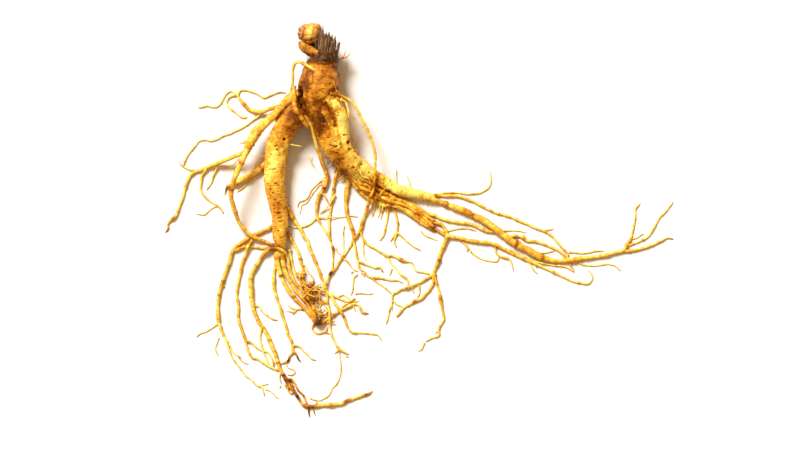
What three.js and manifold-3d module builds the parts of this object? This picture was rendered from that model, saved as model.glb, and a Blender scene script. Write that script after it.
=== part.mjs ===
// A fresh ginseng root lying on a flat surface: main root, two legs, arms and fibre roots in one
// solid, with the winter bud, the stump of last year's stem and its dry scales at the crown.
// Millimetres, +Z up. The surface is the plane z = 0, +Y points to the crown.
import * as THREE from "three";
import Module from "manifold-3d";

const wasm = await Module();
wasm.setup();

// ---------------------------------------------------------------- driving dimensions
const BODY_SIDES = 16;
const LIMB_SIDES = 10;
const ROOT_SIDES = 6; // even counts of sides give a lying root a flat underside
const FIBRE_SIDES = 4;
const FIBRE_RADIUS = 1.25; // a root no thicker than this has FIBRE_SIDES
const ROUTE_TOLERANCE = 0.45; // how far a straight run may leave a lying root's route
const SLIVER = 0.04; // edges and slivers smaller than this, left where roots cross, are closed up
const WRINKLE_PITCH = 5; // distance between the rings round the main root
const WRINKLE_DEPTH = 0.28;
const WRINKLE_WAVE = 0.7; // how far the rings wander along the root as they go round it
// Lobes of the skin: height, how many go round the root, and the distance in which they turn one radian.
const BODY_LOBES = [[0.3, 2, 14], [0.2, 5, -9]];
const LIMB_LOBES = [[0.22, 3, 6], [0.16, 0, 2.3]];
const STUMP_LOBES = [[0.25, 4, 3]];
const BODY_STEP = 3.4;
const LIMB_STEP = 5;

const STUMP_FOOT = new THREE.Vector3(-56, 101.8, 11.4);
const STUMP_TOP = new THREE.Vector3(-54.6, 110.4, 11.9);
const STUMP_RADIUS = 3.4;
const STUMP_SHARES = [0.32, 0.55, 0.8, 1]; // where its stations are, from foot to top
const STUMP_TAPER = 0.25;
const FOOT_SLOPE = 0.42; // the scales' feet sit this much higher for each millimetre to the left
const SCALE_FOOT = 0.4; // how far up the stump the feet of the scales begin
const SCALE_TAPER = 0.94;
const SCALE_SLACK = 0.35; // how loosely the scales stand round the stump
const SCALE_ROWS = 6; // faces along a scale
const SCALE_STRIPS = 4; // faces across it
const SCALE_THICKNESS = 0.6;
const SCALE_CLEARANCE = 0.4; // air between the stump and the inner scales, and between the two whorls
const BUD_CENTRE = new THREE.Vector3(-66.4, 112.6, 12.2);
// the swellings of the bud: offset from its centre, radius
const BUD_LOBES = [
  [0, 0, 0, 5.5],
  [3.2, 3, 0.4, 2.9],
  [-3, 2.6, 0.6, 3],
  [2.8, -4, 0.2, 2.6],
  [-2.8, -1.6, -0.6, 3.6],
];
const BUD_PROFILE = [[-0.85, 0.42], [-0.45, 0.88], [0, 1], [0.45, 0.88], [0.85, 0.42]]; // along, radius
const TIP_REACH = 0.6; // a tube ends this share of its radius past its last station

// ---------------------------------------------------------------- the thick limbs: x, y, z, radius
const MAIN_ROOT = [
  [-58.8, 99, 11.4, 4],
  [-58.6, 98, 11.4, 7.6],
  [-58.3, 96.4, 11.4, 8.9],
  [-58.5, 94.4, 11.5, 9.3],
  [-59, 92.4, 11.7, 9.8],
  [-59.3, 90, 11.8, 10.8],
  [-59.5, 85, 12, 12.2],
  [-60.3, 80, 12.3, 12.7],
  [-60, 75, 12.2, 12.5],
  [-58.8, 70, 11.7, 12],
  [-57, 65, 11, 11.1],
  [-55.6, 60, 10.4, 10.1],
  [-53.8, 55, 10, 9.5],
  [-52, 50, 9.6, 9.3],
  [-50.3, 45, 9.2, 9.1],
  [-47, 40, 8.4, 8.4],
  [-43, 35.5, 7.2, 7.2],
  [-38.8, 31.6, 6.2, 5.9],
  [-34.8, 28, 5.2, 4.5],
  [-31, 24.6, 4.2, 3.2],
];

const FINGER_ROOT = [
  [-51.5, 72.5, 20.4, 2.6],
  [-49.5, 68, 18.8, 3.6],
  [-47.5, 63, 17.2, 3.8],
  [-46.5, 57, 15.4, 3.8],
  [-46, 51, 14.2, 3.9],
  [-45, 45, 13, 4.2],
  [-42.5, 39.5, 11, 4.3],
  [-38, 34.8, 8.6, 4.4],
];

const LEFT_LEG = [
  [-69, 70, 11.5, 7],
  [-73, 65, 11, 7.1],
  [-77.5, 60, 10, 7.3],
  [-81.5, 54, 8.9, 7.1],
  [-84.5, 47.5, 7.8, 6.9],
  [-86.2, 40, 7, 6.9],
  [-86.8, 32, 6.4, 6.7],
  [-86.9, 24, 6.3, 6.6],
  [-86.2, 16, 5.7, 6],
  [-85, 8, 5.1, 5.4],
  [-84, 0, 4.6, 4.8],
  [-84, -8, 4.3, 4.5],
  [-83.6, -13, 3.6, 3.6],
  [-83.4, -17, 2.6, 2.6],
  [-83.2, -21, 1.7, 1.5],
];

const LEFT_LEG_LUMP = [
  [-84.2, 51.5, 10.5, 3.4],
  [-80.8, 47.6, 10.6, 3.7],
  [-82.5, 43.5, 9.4, 3.2],
];

const LEFT_ARM = [
  [-67, 77.5, 12.5, 5],
  [-72, 75, 11.6, 4.3],
  [-77, 73, 10.7, 3.6],
  [-80.5, 69.8, 10.4, 3.1],
  [-84.5, 66, 10.5, 2.8],
  [-89, 62, 10.7, 2.75],
  [-94, 57.5, 11, 2.9],
  [-98, 53, 11.3, 3],
  [-101, 48, 11.5, 2.9],
  [-103.6, 43.5, 11.7, 2.4],
];

const RIGHT_TRUNK = [
  [-38, 34.5, 6.4, 5.4],
  [-33, 30.3, 5.6, 4.9],
  [-27, 26.5, 4.5, 4.1],
  [-21, 23.5, 3.8, 3.6],
  [-17, 20.5, 3.7, 3.7],
  [-13, 18.3, 3.7, 3.8],
  [-9, 17.6, 3.4, 3.4],
  [-3, 16.2, 2.8, 2.9],
  [3, 15, 2.4, 2.5],
  [9, 13.2, 1.9, 2],
];

const RHIZOME_ARM = [
  [-71.6, 105.6, 11.4, 1.6],
  [-70.6, 104.4, 11.6, 2.3],
  [-68.6, 103, 12, 2.8],
  [-65.6, 101.6, 12.6, 3.3],
  [-62, 99.8, 13.4, 3.2],
  [-58.4, 97.8, 13.8, 3.2],
  [-55, 96.2, 13.6, 3.2],
];

// ---------------------------------------------------------------- the lying roots
// Each row is x, y, radius, lift. The lift is the height of the underside over the surface. A radius
// or a lift that a row leaves out stays as it was in the row before.
const CROWN_ROOTS = [
  // loop that springs over the shoulder and dives into the arm
  [
    [-58.5, 85.5, 1, 21], [-60.5, 87.5, 1, 21.6], [-62.5, 89.5, 1, 21.3], [-64.5, 91, 1.1, 20],
    [-66.5, 92.2, 1, 18.6], [-69, 93.5, 1.1, 17], [-71, 94.5, 1, 15.8], [-73, 94.8, 1, 14.8],
    [-74.7, 94, 1, 14], [-75.6, 91.5, 1, 13], [-76.1, 88.5, 1, 12.2], [-76.1, 84, 1, 11.2],
    [-76.6, 79.5, 1.1, 10], [-77, 75.5, 1.4, 8.6],
  ],
  // strand along the groove between the main root and the left leg
  [
    [-75.6, 80.5, 1, 11], [-75.3, 77.5, 1.2, 12.6], [-75.2, 74, 1.2, 13.8], [-75, 67, 1.2, 15.6],
    [-74, 63, 1.2, 15.4], [-71.5, 60, 1.1, 14.2], [-68.5, 57.5, 1.1, 12.6], [-65.5, 55.5, 1.1, 11],
  ],
  // fibre forked at the collar
  [
    [-55, 94.5, 0.7, 10.6], [-50, 96.6, 0.6, 10.6], [-47, 97.3, 0.5, 10.6], [-44, 98.2, 0.45, 10.4],
    [-41.5, 100.5, 0.35, 10.2],
  ],
  [[-47, 97.3, 0.45, 10.6], [-45.5, 98.8, 0.4, 11], [-44.5, 102.3, 0.35, 11.4]],
];

const CROTCH_ROOTS = [
  // root that hangs between the legs and forks on the surface
  [
    [-71, 65.5, 1.1, 16], [-68.5, 62.5, 1.2, 14.6], [-66, 59, 1.3, 12.8], [-64.5, 55, 1.3, 11.2],
    [-63.8, 52, 1.3, 10], [-62, 45, 1.4, 7.4], [-60, 39, 1.5, 5.4], [-58.5, 34, 1.5, 3.6],
    [-57, 30, 1.4, 2.2], [-56, 27, 1.4, 1.2], [-56.3, 23, 1.4, 0.4], [-57.5, 20, 1.3, 0],
    [-60, 16], [-61.3, 13, 1.2], [-62, 9], [-62.3, 5, 1.1], [-61.8, 1, 1], [-60, -1.5, 0.7],
    [-57.5, -5.5], [-55.5, -9], [-53.5, -13], [-52.3, -16.5, 0.9], [-52.3, -20, 0.7], [-52.2, -25, 0.6],
    [-52.6, -28.5], [-54, -31.5, 0.9], [-55.5, -34.5, 0.8], [-57, -38, 1], [-56.5, -42],
  ],
  [[-61.9, 2, 0.6, 0], [-66, -1.5, 0.5], [-72, -3.5], [-79.5, -3.5, 0.5]],
  // root that hangs off the inside of the right leg
  [
    [-46.5, 37, 1.2, 3], [-48, 33.5, 1.1, 2], [-50, 28, 1, 1], [-51.5, 23, 1, 0.4], [-52.3, 18, 1, 0],
    [-53.5, 11], [-54, 5, 0.8], [-54.5, -5], [-54.5, -9], [-53.5, -13.5, 0.8],
  ],
];

const LEFT_ARM_ROOTS = [
  // upper fork of the arm, out to the far left tip
  [
    [-101.5, 46.5, 2.2, 9.2], [-104, 42, 1.9, 8.6], [-107, 40.5, 1.7, 7.4], [-111, 39, 1.6, 5.8],
    [-115, 37.3, 1.5, 4.2], [-119, 35.7, 1.5, 2.7], [-122, 34.5, 1.5, 1.6], [-126, 32.8, 1.3, 0.6],
    [-130, 31.3, 1.2, 0],
    [-134, 30, 1.1], [-137, 28.3], [-139, 25.5, 1], [-140.5, 22], [-141.5, 18, 0.9], [-142.8, 14],
    [-144.2, 10, 0.8], [-145.3, 6.5], [-146.5, 3.5], [-148, 2, 1.1], [-150, 0.3, 0.8], [-151.7, -2, 0.7],
    [-151.5, -4.5, 0.55], [-153, -7, 0.4],
  ],
  // lower fork, over the stub root and round to the foot of the left leg
  [
    [-102.5, 44.5, 2.2, 9.4], [-105.5, 37.5, 1.8, 11.4], [-107.5, 33.5, 1.9, 12.8], [-109.5, 29, 1.9, 13.8],
    [-111.5, 24, 1.8, 14], [-112.8, 19, 1.8, 13.3], [-113, 14, 1.6, 11.8], [-112, 9.5, 1.6, 9.8],
    [-110.8, 5, 1.6, 7.6], [-109.3, 1, 1.5, 5.5], [-107, -3, 1.4, 3.9], [-104, -6.5, 1.4, 2.8],
    [-101, -9, 1.3, 2.1], [-98, -10.5, 1.3, 1.4], [-94, -12, 1.2, 0.4], [-90, -14, 1.2, 0], [-86, -14.5],
  ],
  // stub root under the lower fork
  [
    [-88, 36, 2.4, 2], [-93, 34, 2.3, 0.8], [-96, 31.5, 2.2, 0.2], [-99, 29.5, 2.2, 0], [-102, 27.5, 2.1],
    [-106, 25], [-109, 24, 2.2], [-111, 22.5, 1.9], [-114, 21.5, 1.4], [-116, 20.5, 1.1],
    [-116.6, 18.5, 0.6],
  ],
  [[-90, 39.2, 0.7, 5], [-95.5, 38.3, 0.5, 3.6], [-98, 35, 0.5, 3.2], [-99.5, 30, 0.5, 3]],
  // curl at the upper left and its long tip
  [
    [-80.5, 69, 1.6, 8.4], [-84, 68.4, 1.5, 7], [-87, 67.8, 1.4, 5.4], [-91, 66.7, 1.3, 3.2],
    [-95, 65.5, 1.3, 1.4], [-99, 66, 1.25, 0.4], [-103, 67.5, 1.2, 0], [-106, 70.5], [-108.5, 73.5, 1.1],
    [-110.5, 76, 0.8], [-113.5, 78.2, 0.55], [-116, 77, 0.5], [-117.8, 74.8], [-119, 72], [-120, 70.3],
    [-122, 68.7], [-125, 68.5], [-128, 69.3], [-132, 68.3], [-133.5, 68, 0.4],
  ],
  [
    [-109.5, 75.5, 0.6, 0], [-108, 78.3, 0.5], [-105, 78.6], [-100, 77], [-97, 75.5], [-94, 74.2],
    [-89, 76, 0.45], [-84, 77.5], [-80.5, 77],
  ],
  [
    [-110.5, 76, 0.6, 0], [-114.6, 74.3, 0.5], [-116.3, 71.2], [-114, 67.5], [-111, 65.3],
    [-106.5, 62.3], [-103.8, 62.3, 0.45],
  ],
  // thin root from the curl to the left
  [
    [-94.5, 65.6, 0.7, 1.2], [-98.5, 62, 0.55, 0.3], [-104, 58, 0.5, 0], [-107.5, 56], [-113.5, 52.5],
    [-117, 51.7], [-122, 49.3], [-125, 48.5], [-131.5, 48.5], [-135, 45.5], [-139, 40.5], [-142, 34],
    [-142, 32.5, 0.4],
  ],
  [
    [-128.5, 31.5, 0.9, 0.3], [-131, 27, 0.8, 0], [-131.8, 23], [-132, 20, 0.7], [-131, 17], [-129, 14.5],
    [-124.5, 11, 0.6], [-120, 7.5], [-118, 4.3, 0.5],
  ],
  [
    [-121, 34.5, 0.6, 2], [-122.5, 31, 0.55, 0.8], [-124.8, 26.7, 0.7, 0], [-125.3, 24, 0.5],
    [-128.3, 18.7, 0.4],
  ],
];

const LEFT_OUTER_ROOTS = [
  // root from the foot of the left leg to the far lower left
  [
    [-82, -7.5, 1.8, 1], [-85, -4.5, 1.6, 0.4], [-87.8, -3, 1.3, 0], [-91, -4.5, 1.2], [-94.5, -6],
    [-98, -7.5], [-101, -9], [-104, -11], [-107, -13], [-109.5, -15], [-112, -17.5, 1.2],
    [-114, -22, 1.3], [-115, -26, 1.2], [-116.5, -30], [-118, -34], [-119.3, -38], [-120.3, -42],
    [-121.3, -47, 1.1], [-121.7, -52, 1.2], [-121.5, -57, 1.4], [-121, -61, 1.3], [-119.5, -65.5, 1.1],
    [-118, -69.5, 0.9], [-116, -73], [-115, -77, 0.7], [-113, -82, 0.6], [-110, -86], [-107.5, -89.5],
    [-105, -93, 0.55], [-102, -94.8], [-98, -98.8], [-95.5, -99.5, 0.7], [-94.3, -102, 0.5],
    [-93.5, -105.5, 0.4],
  ],
  [
    [-85, -15.5, 1.4, 0], [-89, -16.5, 1], [-94, -16.3, 0.8], [-99, -15.8], [-103, -15.3],
    [-107, -15.7, 0.9],
    [-112.5, -18.5, 1],
  ],
  [
    [-99, -8.5, 1.1, 0], [-102, -13, 1.1], [-103.5, -15.5], [-104.3, -18.5], [-105.5, -22],
    [-107, -25.5, 1],
    [-107.5, -29], [-108.5, -33], [-109.3, -37], [-110, -41, 0.9], [-110.3, -45], [-109.5, -49],
    [-109.3, -53], [-109.5, -57, 1], [-109, -60], [-107.8, -64], [-106.3, -68], [-105, -72, 0.9],
    [-104.5, -74.5, 0.8], [-103.5, -78], [-101, -82], [-98.5, -82.5], [-95, -84.5], [-91.5, -87],
    [-88.5, -88.5], [-84.5, -90, 0.8],
  ],
  [
    [-105, -72, 0.7, 0], [-101, -73.5, 0.6], [-98, -76], [-94.5, -78], [-91.5, -79],
    [-89.5, -81.5, 0.6, 0.3],
    [-88.3, -83.8, 0.6, 0.3], [-88, -88, 0.6, 0.2],
  ],
  [
    [-84, -14, 2.4, 0], [-89, -16, 1.5], [-92, -18, 1.4], [-94.5, -21], [-97, -25], [-99.5, -28.5, 1.5],
    [-101, -32], [-101.8, -36, 1.6], [-101.8, -41], [-101.7, -45], [-101, -49, 1.4], [-100, -53],
    [-98.5, -57, 1.3], [-96.5, -61], [-94, -64.5], [-91.5, -69, 1.35], [-89.5, -74], [-87.5, -79, 1.3],
    [-85.8, -84], [-84.3, -88.5, 1.2], [-82.5, -92.5, 1.3], [-80.5, -96, 1.5], [-78, -99.5, 1.3],
    [-75.5, -103, 1.1], [-73, -107], [-70.5, -110.5], [-67, -111.6, 1.2], [-62.9, -111.2],
    [-58, -110.8, 1.1],
    [-52.2, -110.3], [-46.2, -109.6, 1], [-44.2, -108.3], [-40.3, -106.8, 0.9], [-35.3, -105.1],
    [-30.8, -103.9, 0.7], [-28.3, -102.1, 0.4],
  ],
  [[-67, -111.6, 0.8, 0], [-66.8, -115.5, 0.5], [-66.3, -118, 0.45]],
  [
    [-81, -95.4, 0.9, 0.4], [-77.2, -95.6, 0.75, 0.2], [-73, -102, 0.7, 0], [-70.3, -104.5],
    [-68.8, -108], [-68, -112],
  ],
  [[-100.5, -51, 0.6, 0], [-96.5, -51.5, 0.5], [-95, -54], [-92, -56.5], [-88, -59], [-85.5, -59.7, 0.4]],
  [
    [-95.3, -64, 0.6, 0], [-96, -70, 0.55], [-94.7, -77.5], [-92, -84], [-90, -87.8, 0.5],
  ],
  // middle root under the left leg
  [
    [-84.5, -15, 1.2, 0], [-85.8, -22, 0.9], [-87.5, -30, 1], [-88, -35, 1.1], [-88, -40], [-87, -44],
    [-85.5, -48, 1], [-84, -52], [-83, -56], [-81.8, -60, 0.9], [-80.5, -64], [-79.5, -68.5],
    [-77.5, -71.5],
    [-76.3, -75.5], [-76.5, -79, 0.8], [-78.8, -81.5, 0.7], [-79.3, -83.7], [-81.5, -85, 0.6],
    [-83.5, -86, 0.5],
  ],
  [[-76.4, -78, 0.7, 0], [-73.8, -81, 0.6], [-73, -83], [-71.5, -84.8, 0.4]],
  [[-76.5, -74.8, 0.6, 0], [-73, -75.3, 0.5], [-68.5, -79.3], [-65, -83], [-62.5, -83.8, 0.4]],
];

const LEFT_BUNDLE_ROOTS = [
  // roots that run together from the foot of the left leg to the knot
  [
    [-84, -12, 2.4, 0], [-85.2, -17, 2], [-86, -22, 1.9], [-85.5, -27, 1.8], [-84.5, -31], [-83, -35, 1.7],
    [-81, -39], [-78.5, -42.5, 1.6], [-75.5, -46], [-72.5, -49, 1.5], [-70, -51.5], [-67, -55, 1.4],
    [-64.5, -58], [-62, -61, 1.4],
  ],
  [
    [-83.5, -12, 1.9, 1], [-83, -16.5, 1.7, 0.6], [-82, -25, 1.6, 0], [-81, -30], [-79.5, -34, 1.5],
    [-77, -38], [-74.5, -42], [-72, -45, 1.4], [-69, -48.5], [-66.5, -52], [-64, -56, 1.3], [-61.5, -60.5],
  ],
  // arched root over the foot
  [
    [-89, -16.5, 1.1, 1.8], [-86.5, -16.2, 1.1, 3.4], [-84, -16.7, 1.1, 4.2], [-81.5, -18.5, 1.1, 3],
    [-79.8, -21.5, 1.1, 1.2], [-79, -25, 1.1, 0.4], [-78.6, -29, 1.1, 0], [-77, -33], [-74.8, -37],
    [-72.3, -40.5], [-69.5, -44], [-66.5, -48], [-64, -52], [-62.5, -57],
  ],
  [
    [-78.5, -17, 0.8, 0.6], [-76.8, -26, 0.7, 0], [-75, -32], [-72, -37], [-69, -41], [-66, -45],
    [-63.5, -50],
  ],
  [
    [-80.5, -6, 1.2, 2], [-78.5, -9, 1.1, 1.2], [-76.8, -12, 1, 0.3], [-75, -15, 1, 0], [-73, -19],
    [-72, -23],
    [-71, -27], [-70, -31, 0.9], [-70.5, -35], [-69, -39], [-66, -42, 0.8], [-62, -42.3], [-57, -43.6],
  ],
  // long root from the inside of the left leg
  [
    [-80.5, 7.5, 2, 2], [-78, 5, 1.8, 1.4], [-76, 1, 1.5, 0.5], [-73.5, -2.5, 1.3, 0], [-71.5, -5.5],
    [-70, -9, 1.2], [-68, -11.5], [-66.5, -16], [-64.5, -20.5], [-62.5, -25.5], [-60.5, -30, 1.1],
    [-59.3, -34], [-57.5, -37], [-56.5, -41], [-56, -44.5, 1],
  ],
];

const KNOT_ROOTS = [
  // the dark knot, and what leaves it
  [[-64, -58.5, 1.6, 0.4], [-61.3, -61, 2, 0.4], [-58.6, -61, 1.7, 0.2], [-57, -59.6, 1.2, 0]],
  [[-62, -60.5, 0.8, 0], [-64.8, -64, 0.6], [-63, -67], [-61, -67.7], [-56.5, -67], [-54.2, -68, 0.6]],
  [
    [-58, -61, 1, 0], [-54.5, -58, 0.9], [-52, -56.3, 1.1], [-50, -55, 0.9], [-48, -54], [-45, -52.8],
    [-42.5, -51.3], [-40, -50, 0.8], [-37.5, -50.3], [-36, -52], [-35.3, -54.5], [-33, -55.3],
    [-31, -55.5, 0.6],
  ],
  [
    [-56, -42.5, 1, 0], [-53, -46], [-51.5, -49], [-50, -51.5], [-48.3, -54], [-46.5, -56.5, 0.9],
    [-45, -59.5], [-44, -62.5, 0.8], [-42.8, -65.5], [-40.5, -67, 0.7], [-38, -68.3, 0.7],
  ],
  [[-41, -66.9, 0.55, 0], [-36, -67.3, 0.5], [-28, -68], [-25.5, -68.5], [-23, -72, 0.4]],
  [
    [-56, -43.5, 0.8, 0], [-55.5, -50, 0.65], [-54.5, -54], [-54.3, -58], [-54, -63], [-53.5, -67, 0.7],
    [-52, -71], [-50.5, -74], [-49, -76], [-47.8, -77.2, 1], [-45, -79, 0.6], [-42.5, -80.5, 0.4],
  ],
  [[-48, -77, 0.6, 0], [-51.3, -79.7, 0.4]],
  [[-55.5, -43.2, 0.8, 0], [-50, -46, 0.7], [-47, -47.3], [-44, -48.3], [-41.5, -48], [-39, -46.5, 0.8]],
];

const MIDDLE_ROOTS = [
  // root that drops from the underside of the right leg
  [
    [-41, 30, 2.4, 0.6], [-42.5, 25, 1.9, 0], [-43.5, 21, 1.7], [-44, 16, 1.5], [-44.5, 11, 1.3],
    [-44.2, 6],
    [-43, 1, 1.25], [-41.5, -3], [-40, -8, 1.1], [-39.7, -12, 1], [-39, -17, 0.9], [-38, -21],
    [-37, -25, 0.8], [-36, -28.5], [-34, -30, 0.7], [-32, -32.5], [-29.5, -34], [-26, -34, 0.8],
    [-23, -34.3, 0.6], [-18, -35.5, 0.5], [-13, -36], [-10, -37.5, 0.4],
  ],
  [[-29, -34, 0.6, 0], [-25.5, -37, 0.5], [-22, -39.5], [-19.5, -41.3], [-17, -44, 0.4]],
  [
    [-39.8, -11, 0.7, 0], [-43.5, -17.5, 0.6], [-46.5, -21.5, 0.9], [-48.5, -24.5, 0.8], [-50.5, -28],
    [-52.8, -30.5], [-55, -33.5, 0.8],
  ],
  // arched root from the shoulder of the body, over the right leg and down to the right
  [
    [-54, 76, 1.5, 20.5], [-49, 75.5, 1.3, 17], [-46, 74, 1.2, 14.6], [-43.5, 73, 1.1, 13.6],
    [-41, 71.5, 1.1, 13], [-39, 69, 1, 12.8], [-37, 65.5, 1, 12.6], [-35, 61.5, 1, 12.4],
    [-32.5, 56.5, 1, 12.2], [-30.5, 51.5, 1, 12], [-28.5, 46.5, 1, 11.6], [-27.3, 41.5, 1, 11],
    [-26.8, 37, 1, 10.4], [-26.9, 32, 1, 9.8], [-27, 27, 1, 8.8], [-27.5, 23, 1.05, 7.4],
    [-28.5, 18, 1.1, 5.2], [-30, 13.5, 1.15, 3], [-31.3, 9, 1.2, 1.4], [-33, 4, 1.2, 0.2],
    [-34.5, -1, 1.2, 0],
    [-35.3, -7, 0.9], [-34.5, -9.5, 0.8], [-33, -12], [-31, -14.2], [-28, -16.2], [-25, -18], [-22, -19.7],
    [-20, -21], [-17.5, -20.7, 0.7], [-14.5, -21.5], [-11, -23, 1.2], [-8.5, -24, 0.7], [-6.5, -24.3, 0.55],
    [-4.5, -25.5], [-2, -30], [1.5, -30.6], [4, -31.3], [8.3, -32.4, 0.5],
  ],
  [[-34.8, -3, 0.9, 0], [-37, -7.5], [-39.7, -11.5]],
  [
    [-19.5, -20.8, 0.7, 0], [-17, -26, 0.55], [-14, -28.5], [-12.5, -31], [-10.5, -32.5, 0.8],
    [-8, -34.5, 0.9],
    [-7, -36.5, 0.6], [-6.5, -39], [-3.2, -43.5, 0.45],
  ],
  [[-37, -24, 0.7, 0], [-33, -26, 0.6], [-30, -27], [-27, -28.2], [-24, -28, 0.7], [-22.3, -30.8, 0.8]],
  // root on the shoulder, over the finger root
  [
    [-47.5, 72.5, 1, 18.4], [-44.7, 71, 0.9, 17.4], [-43.5, 67.5, 0.9, 17], [-42.8, 63.5, 0.9, 16.8],
    [-43, 60.5, 0.9, 16.4],
  ],
];

const RIGHT_BUNDLE_ROOTS = [
  // strands that the lower half of the right leg divides into
  [
    [-41, 33, 1.6, 8.5], [-36, 28.5, 1.5, 7], [-31.5, 24, 1.5, 5.2], [-26.5, 20, 1.4, 3.8],
    [-21, 17, 1.3, 2.6],
    [-15, 14.6, 1.2, 1.6], [-9, 12, 1.1, 0.6],
  ],
  [
    [-38.5, 33.5, 1.4, 9.4], [-33.5, 29.5, 1.4, 8], [-28.5, 25.5, 1.3, 6.2], [-23, 21.5, 1.3, 4.6],
    [-17.5, 18, 1.2, 3], [-12, 15.5, 1.1, 1.8],
  ],
  [
    [-44, 31.5, 1.6, 5], [-40, 25.5, 1.5, 3.6], [-35.5, 20, 1.4, 2.6], [-30.5, 16.4, 1.4, 2.2],
    [-25, 13.6, 1.2, 1.6],
    [-19.5, 11, 1.1, 0.8], [-13, 9.6, 1, 0.2],
  ],
  [
    [-40, 33, 2.6, 5.4], [-34.5, 27.5, 2.2, 4.2], [-29.5, 22.6, 2, 2.8], [-24.5, 18.2, 1.8, 1.4],
    [-19, 14.6, 1.6, 0.8], [-14, 13.4, 1.5, 0.4],
  ],
  [
    [-42.5, 29, 2.6, 1.5], [-38.5, 21.5, 2.1, 0.6], [-34, 16, 1.8, 0.2], [-29.5, 12.6, 1.5, 0],
    [-25, 10.2, 1.2], [-20.5, 8.8, 1],
  ],
  [
    [-38, 29, 3, 2.4], [-34, 24, 2.4, 1.8], [-30, 18.5, 2.2, 1], [-27, 15.5, 2, 0.4], [-23, 13.8, 1.8, 0],
    [-19, 12.5], [-14, 13.5, 1.7], [-11, 13.4, 1.5], [-8, 11.5, 1.3], [-4, 9.5], [0, 7.5, 1.2], [3, 5.5],
    [6, 3.8, 1.1], [9, 3], [12, 1.5, 1], [17, 0], [22, -0.8], [27, -1.3], [31, -2], [34, -3.5],
    [37, -5, 1.1], [41, -6], [46, -6.6],
  ],
  [
    [-28, 14, 1.5, 2.8], [-24, 14.5, 1.3, 2.6], [-20, 13, 1.2, 2.2], [-15, 10.6, 1.3, 0.8],
    [-12, 8.8, 1.3, 0],
    [-8, 7], [-4, 4.5], [0, 2], [3, 0.5, 1.2], [7, -0.5], [10, -1.2], [13, -2, 1.3], [15.3, -5, 1.35],
    [16.3, -8], [15.5, -12, 1.3], [13.5, -16], [12, -20, 1.2], [11.3, -23.5, 1.3], [9.8, -27, 1.1],
    [8.6, -30], [8.2, -32.5, 1],
  ],
  [
    [-30, 14.5, 1.4, 0], [-24, 10.5, 1.2], [-20, 9], [-16, 9.3], [-12, 7.6], [-8, 5.2], [-4, 2.8],
    [-1, 1.4],
  ],
  [[-4, 2.6, 1.2, 0], [-1, 1.4, 1.3], [3, -0.9], [8, -4, 1.2], [12, -6.6], [15.8, -8.8]],
  // thin root along the top of the right side
  [
    [5, 14.6, 1.4, 0.4], [8, 15.5, 1, 0.4], [12, 15.2, 1, 0], [16, 15], [20, 15, 0.9], [24, 14.6],
    [28, 13.2],
    [32, 12], [36, 9.8], [41, 7.3, 0.8], [46, 5], [53, 3], [60, 0], [65, -2], [70, -4.5], [75, -6.3],
    [79, -9], [82, -12], [85, -15.5], [88, -18.5], [89.5, -21.5, 0.9],
  ],
  [
    [8, 15.6, 0.6, 1.2], [13, 16.6, 0.5, 0.4], [20, 16.8, 0.5, 0], [31, 16.5], [35, 16.8], [38, 18],
    [41, 20], [42.3, 22.5], [42.6, 25], [42.2, 29.5, 0.45],
  ],
  [[-5.2, 17, 0.9, 3], [-5.8, 21, 0.5, 1], [-6.8, 24.5, 0.45, 0], [-7.7, 27, 0.4]],
  // rootlets that hang under the bundle
  [[-17, 9, 1, 0], [-15, 5, 0.8], [-14, 2], [-13.3, -1.5], [-13.6, -5, 0.7], [-13.8, -7.5, 0.7]],
  [[-13.8, -7, 0.6, 0], [-16, -9.4, 0.5], [-17.8, -12.5, 0.4]],
  [[-13.8, -7.4, 0.55, 0], [-15.3, -12, 0.5], [-14, -16.3, 0.4]],
  [[-13.7, -6.8, 0.6, 0], [-10.5, -10, 0.5], [-5, -14.5], [0.5, -17.8, 0.4]],
  [[-19.5, 8.5, 0.8, 0], [-19.3, 4, 0.6], [-20.5, -2], [-21.5, -7.5], [-24.3, -12, 0.45]],
];

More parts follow.
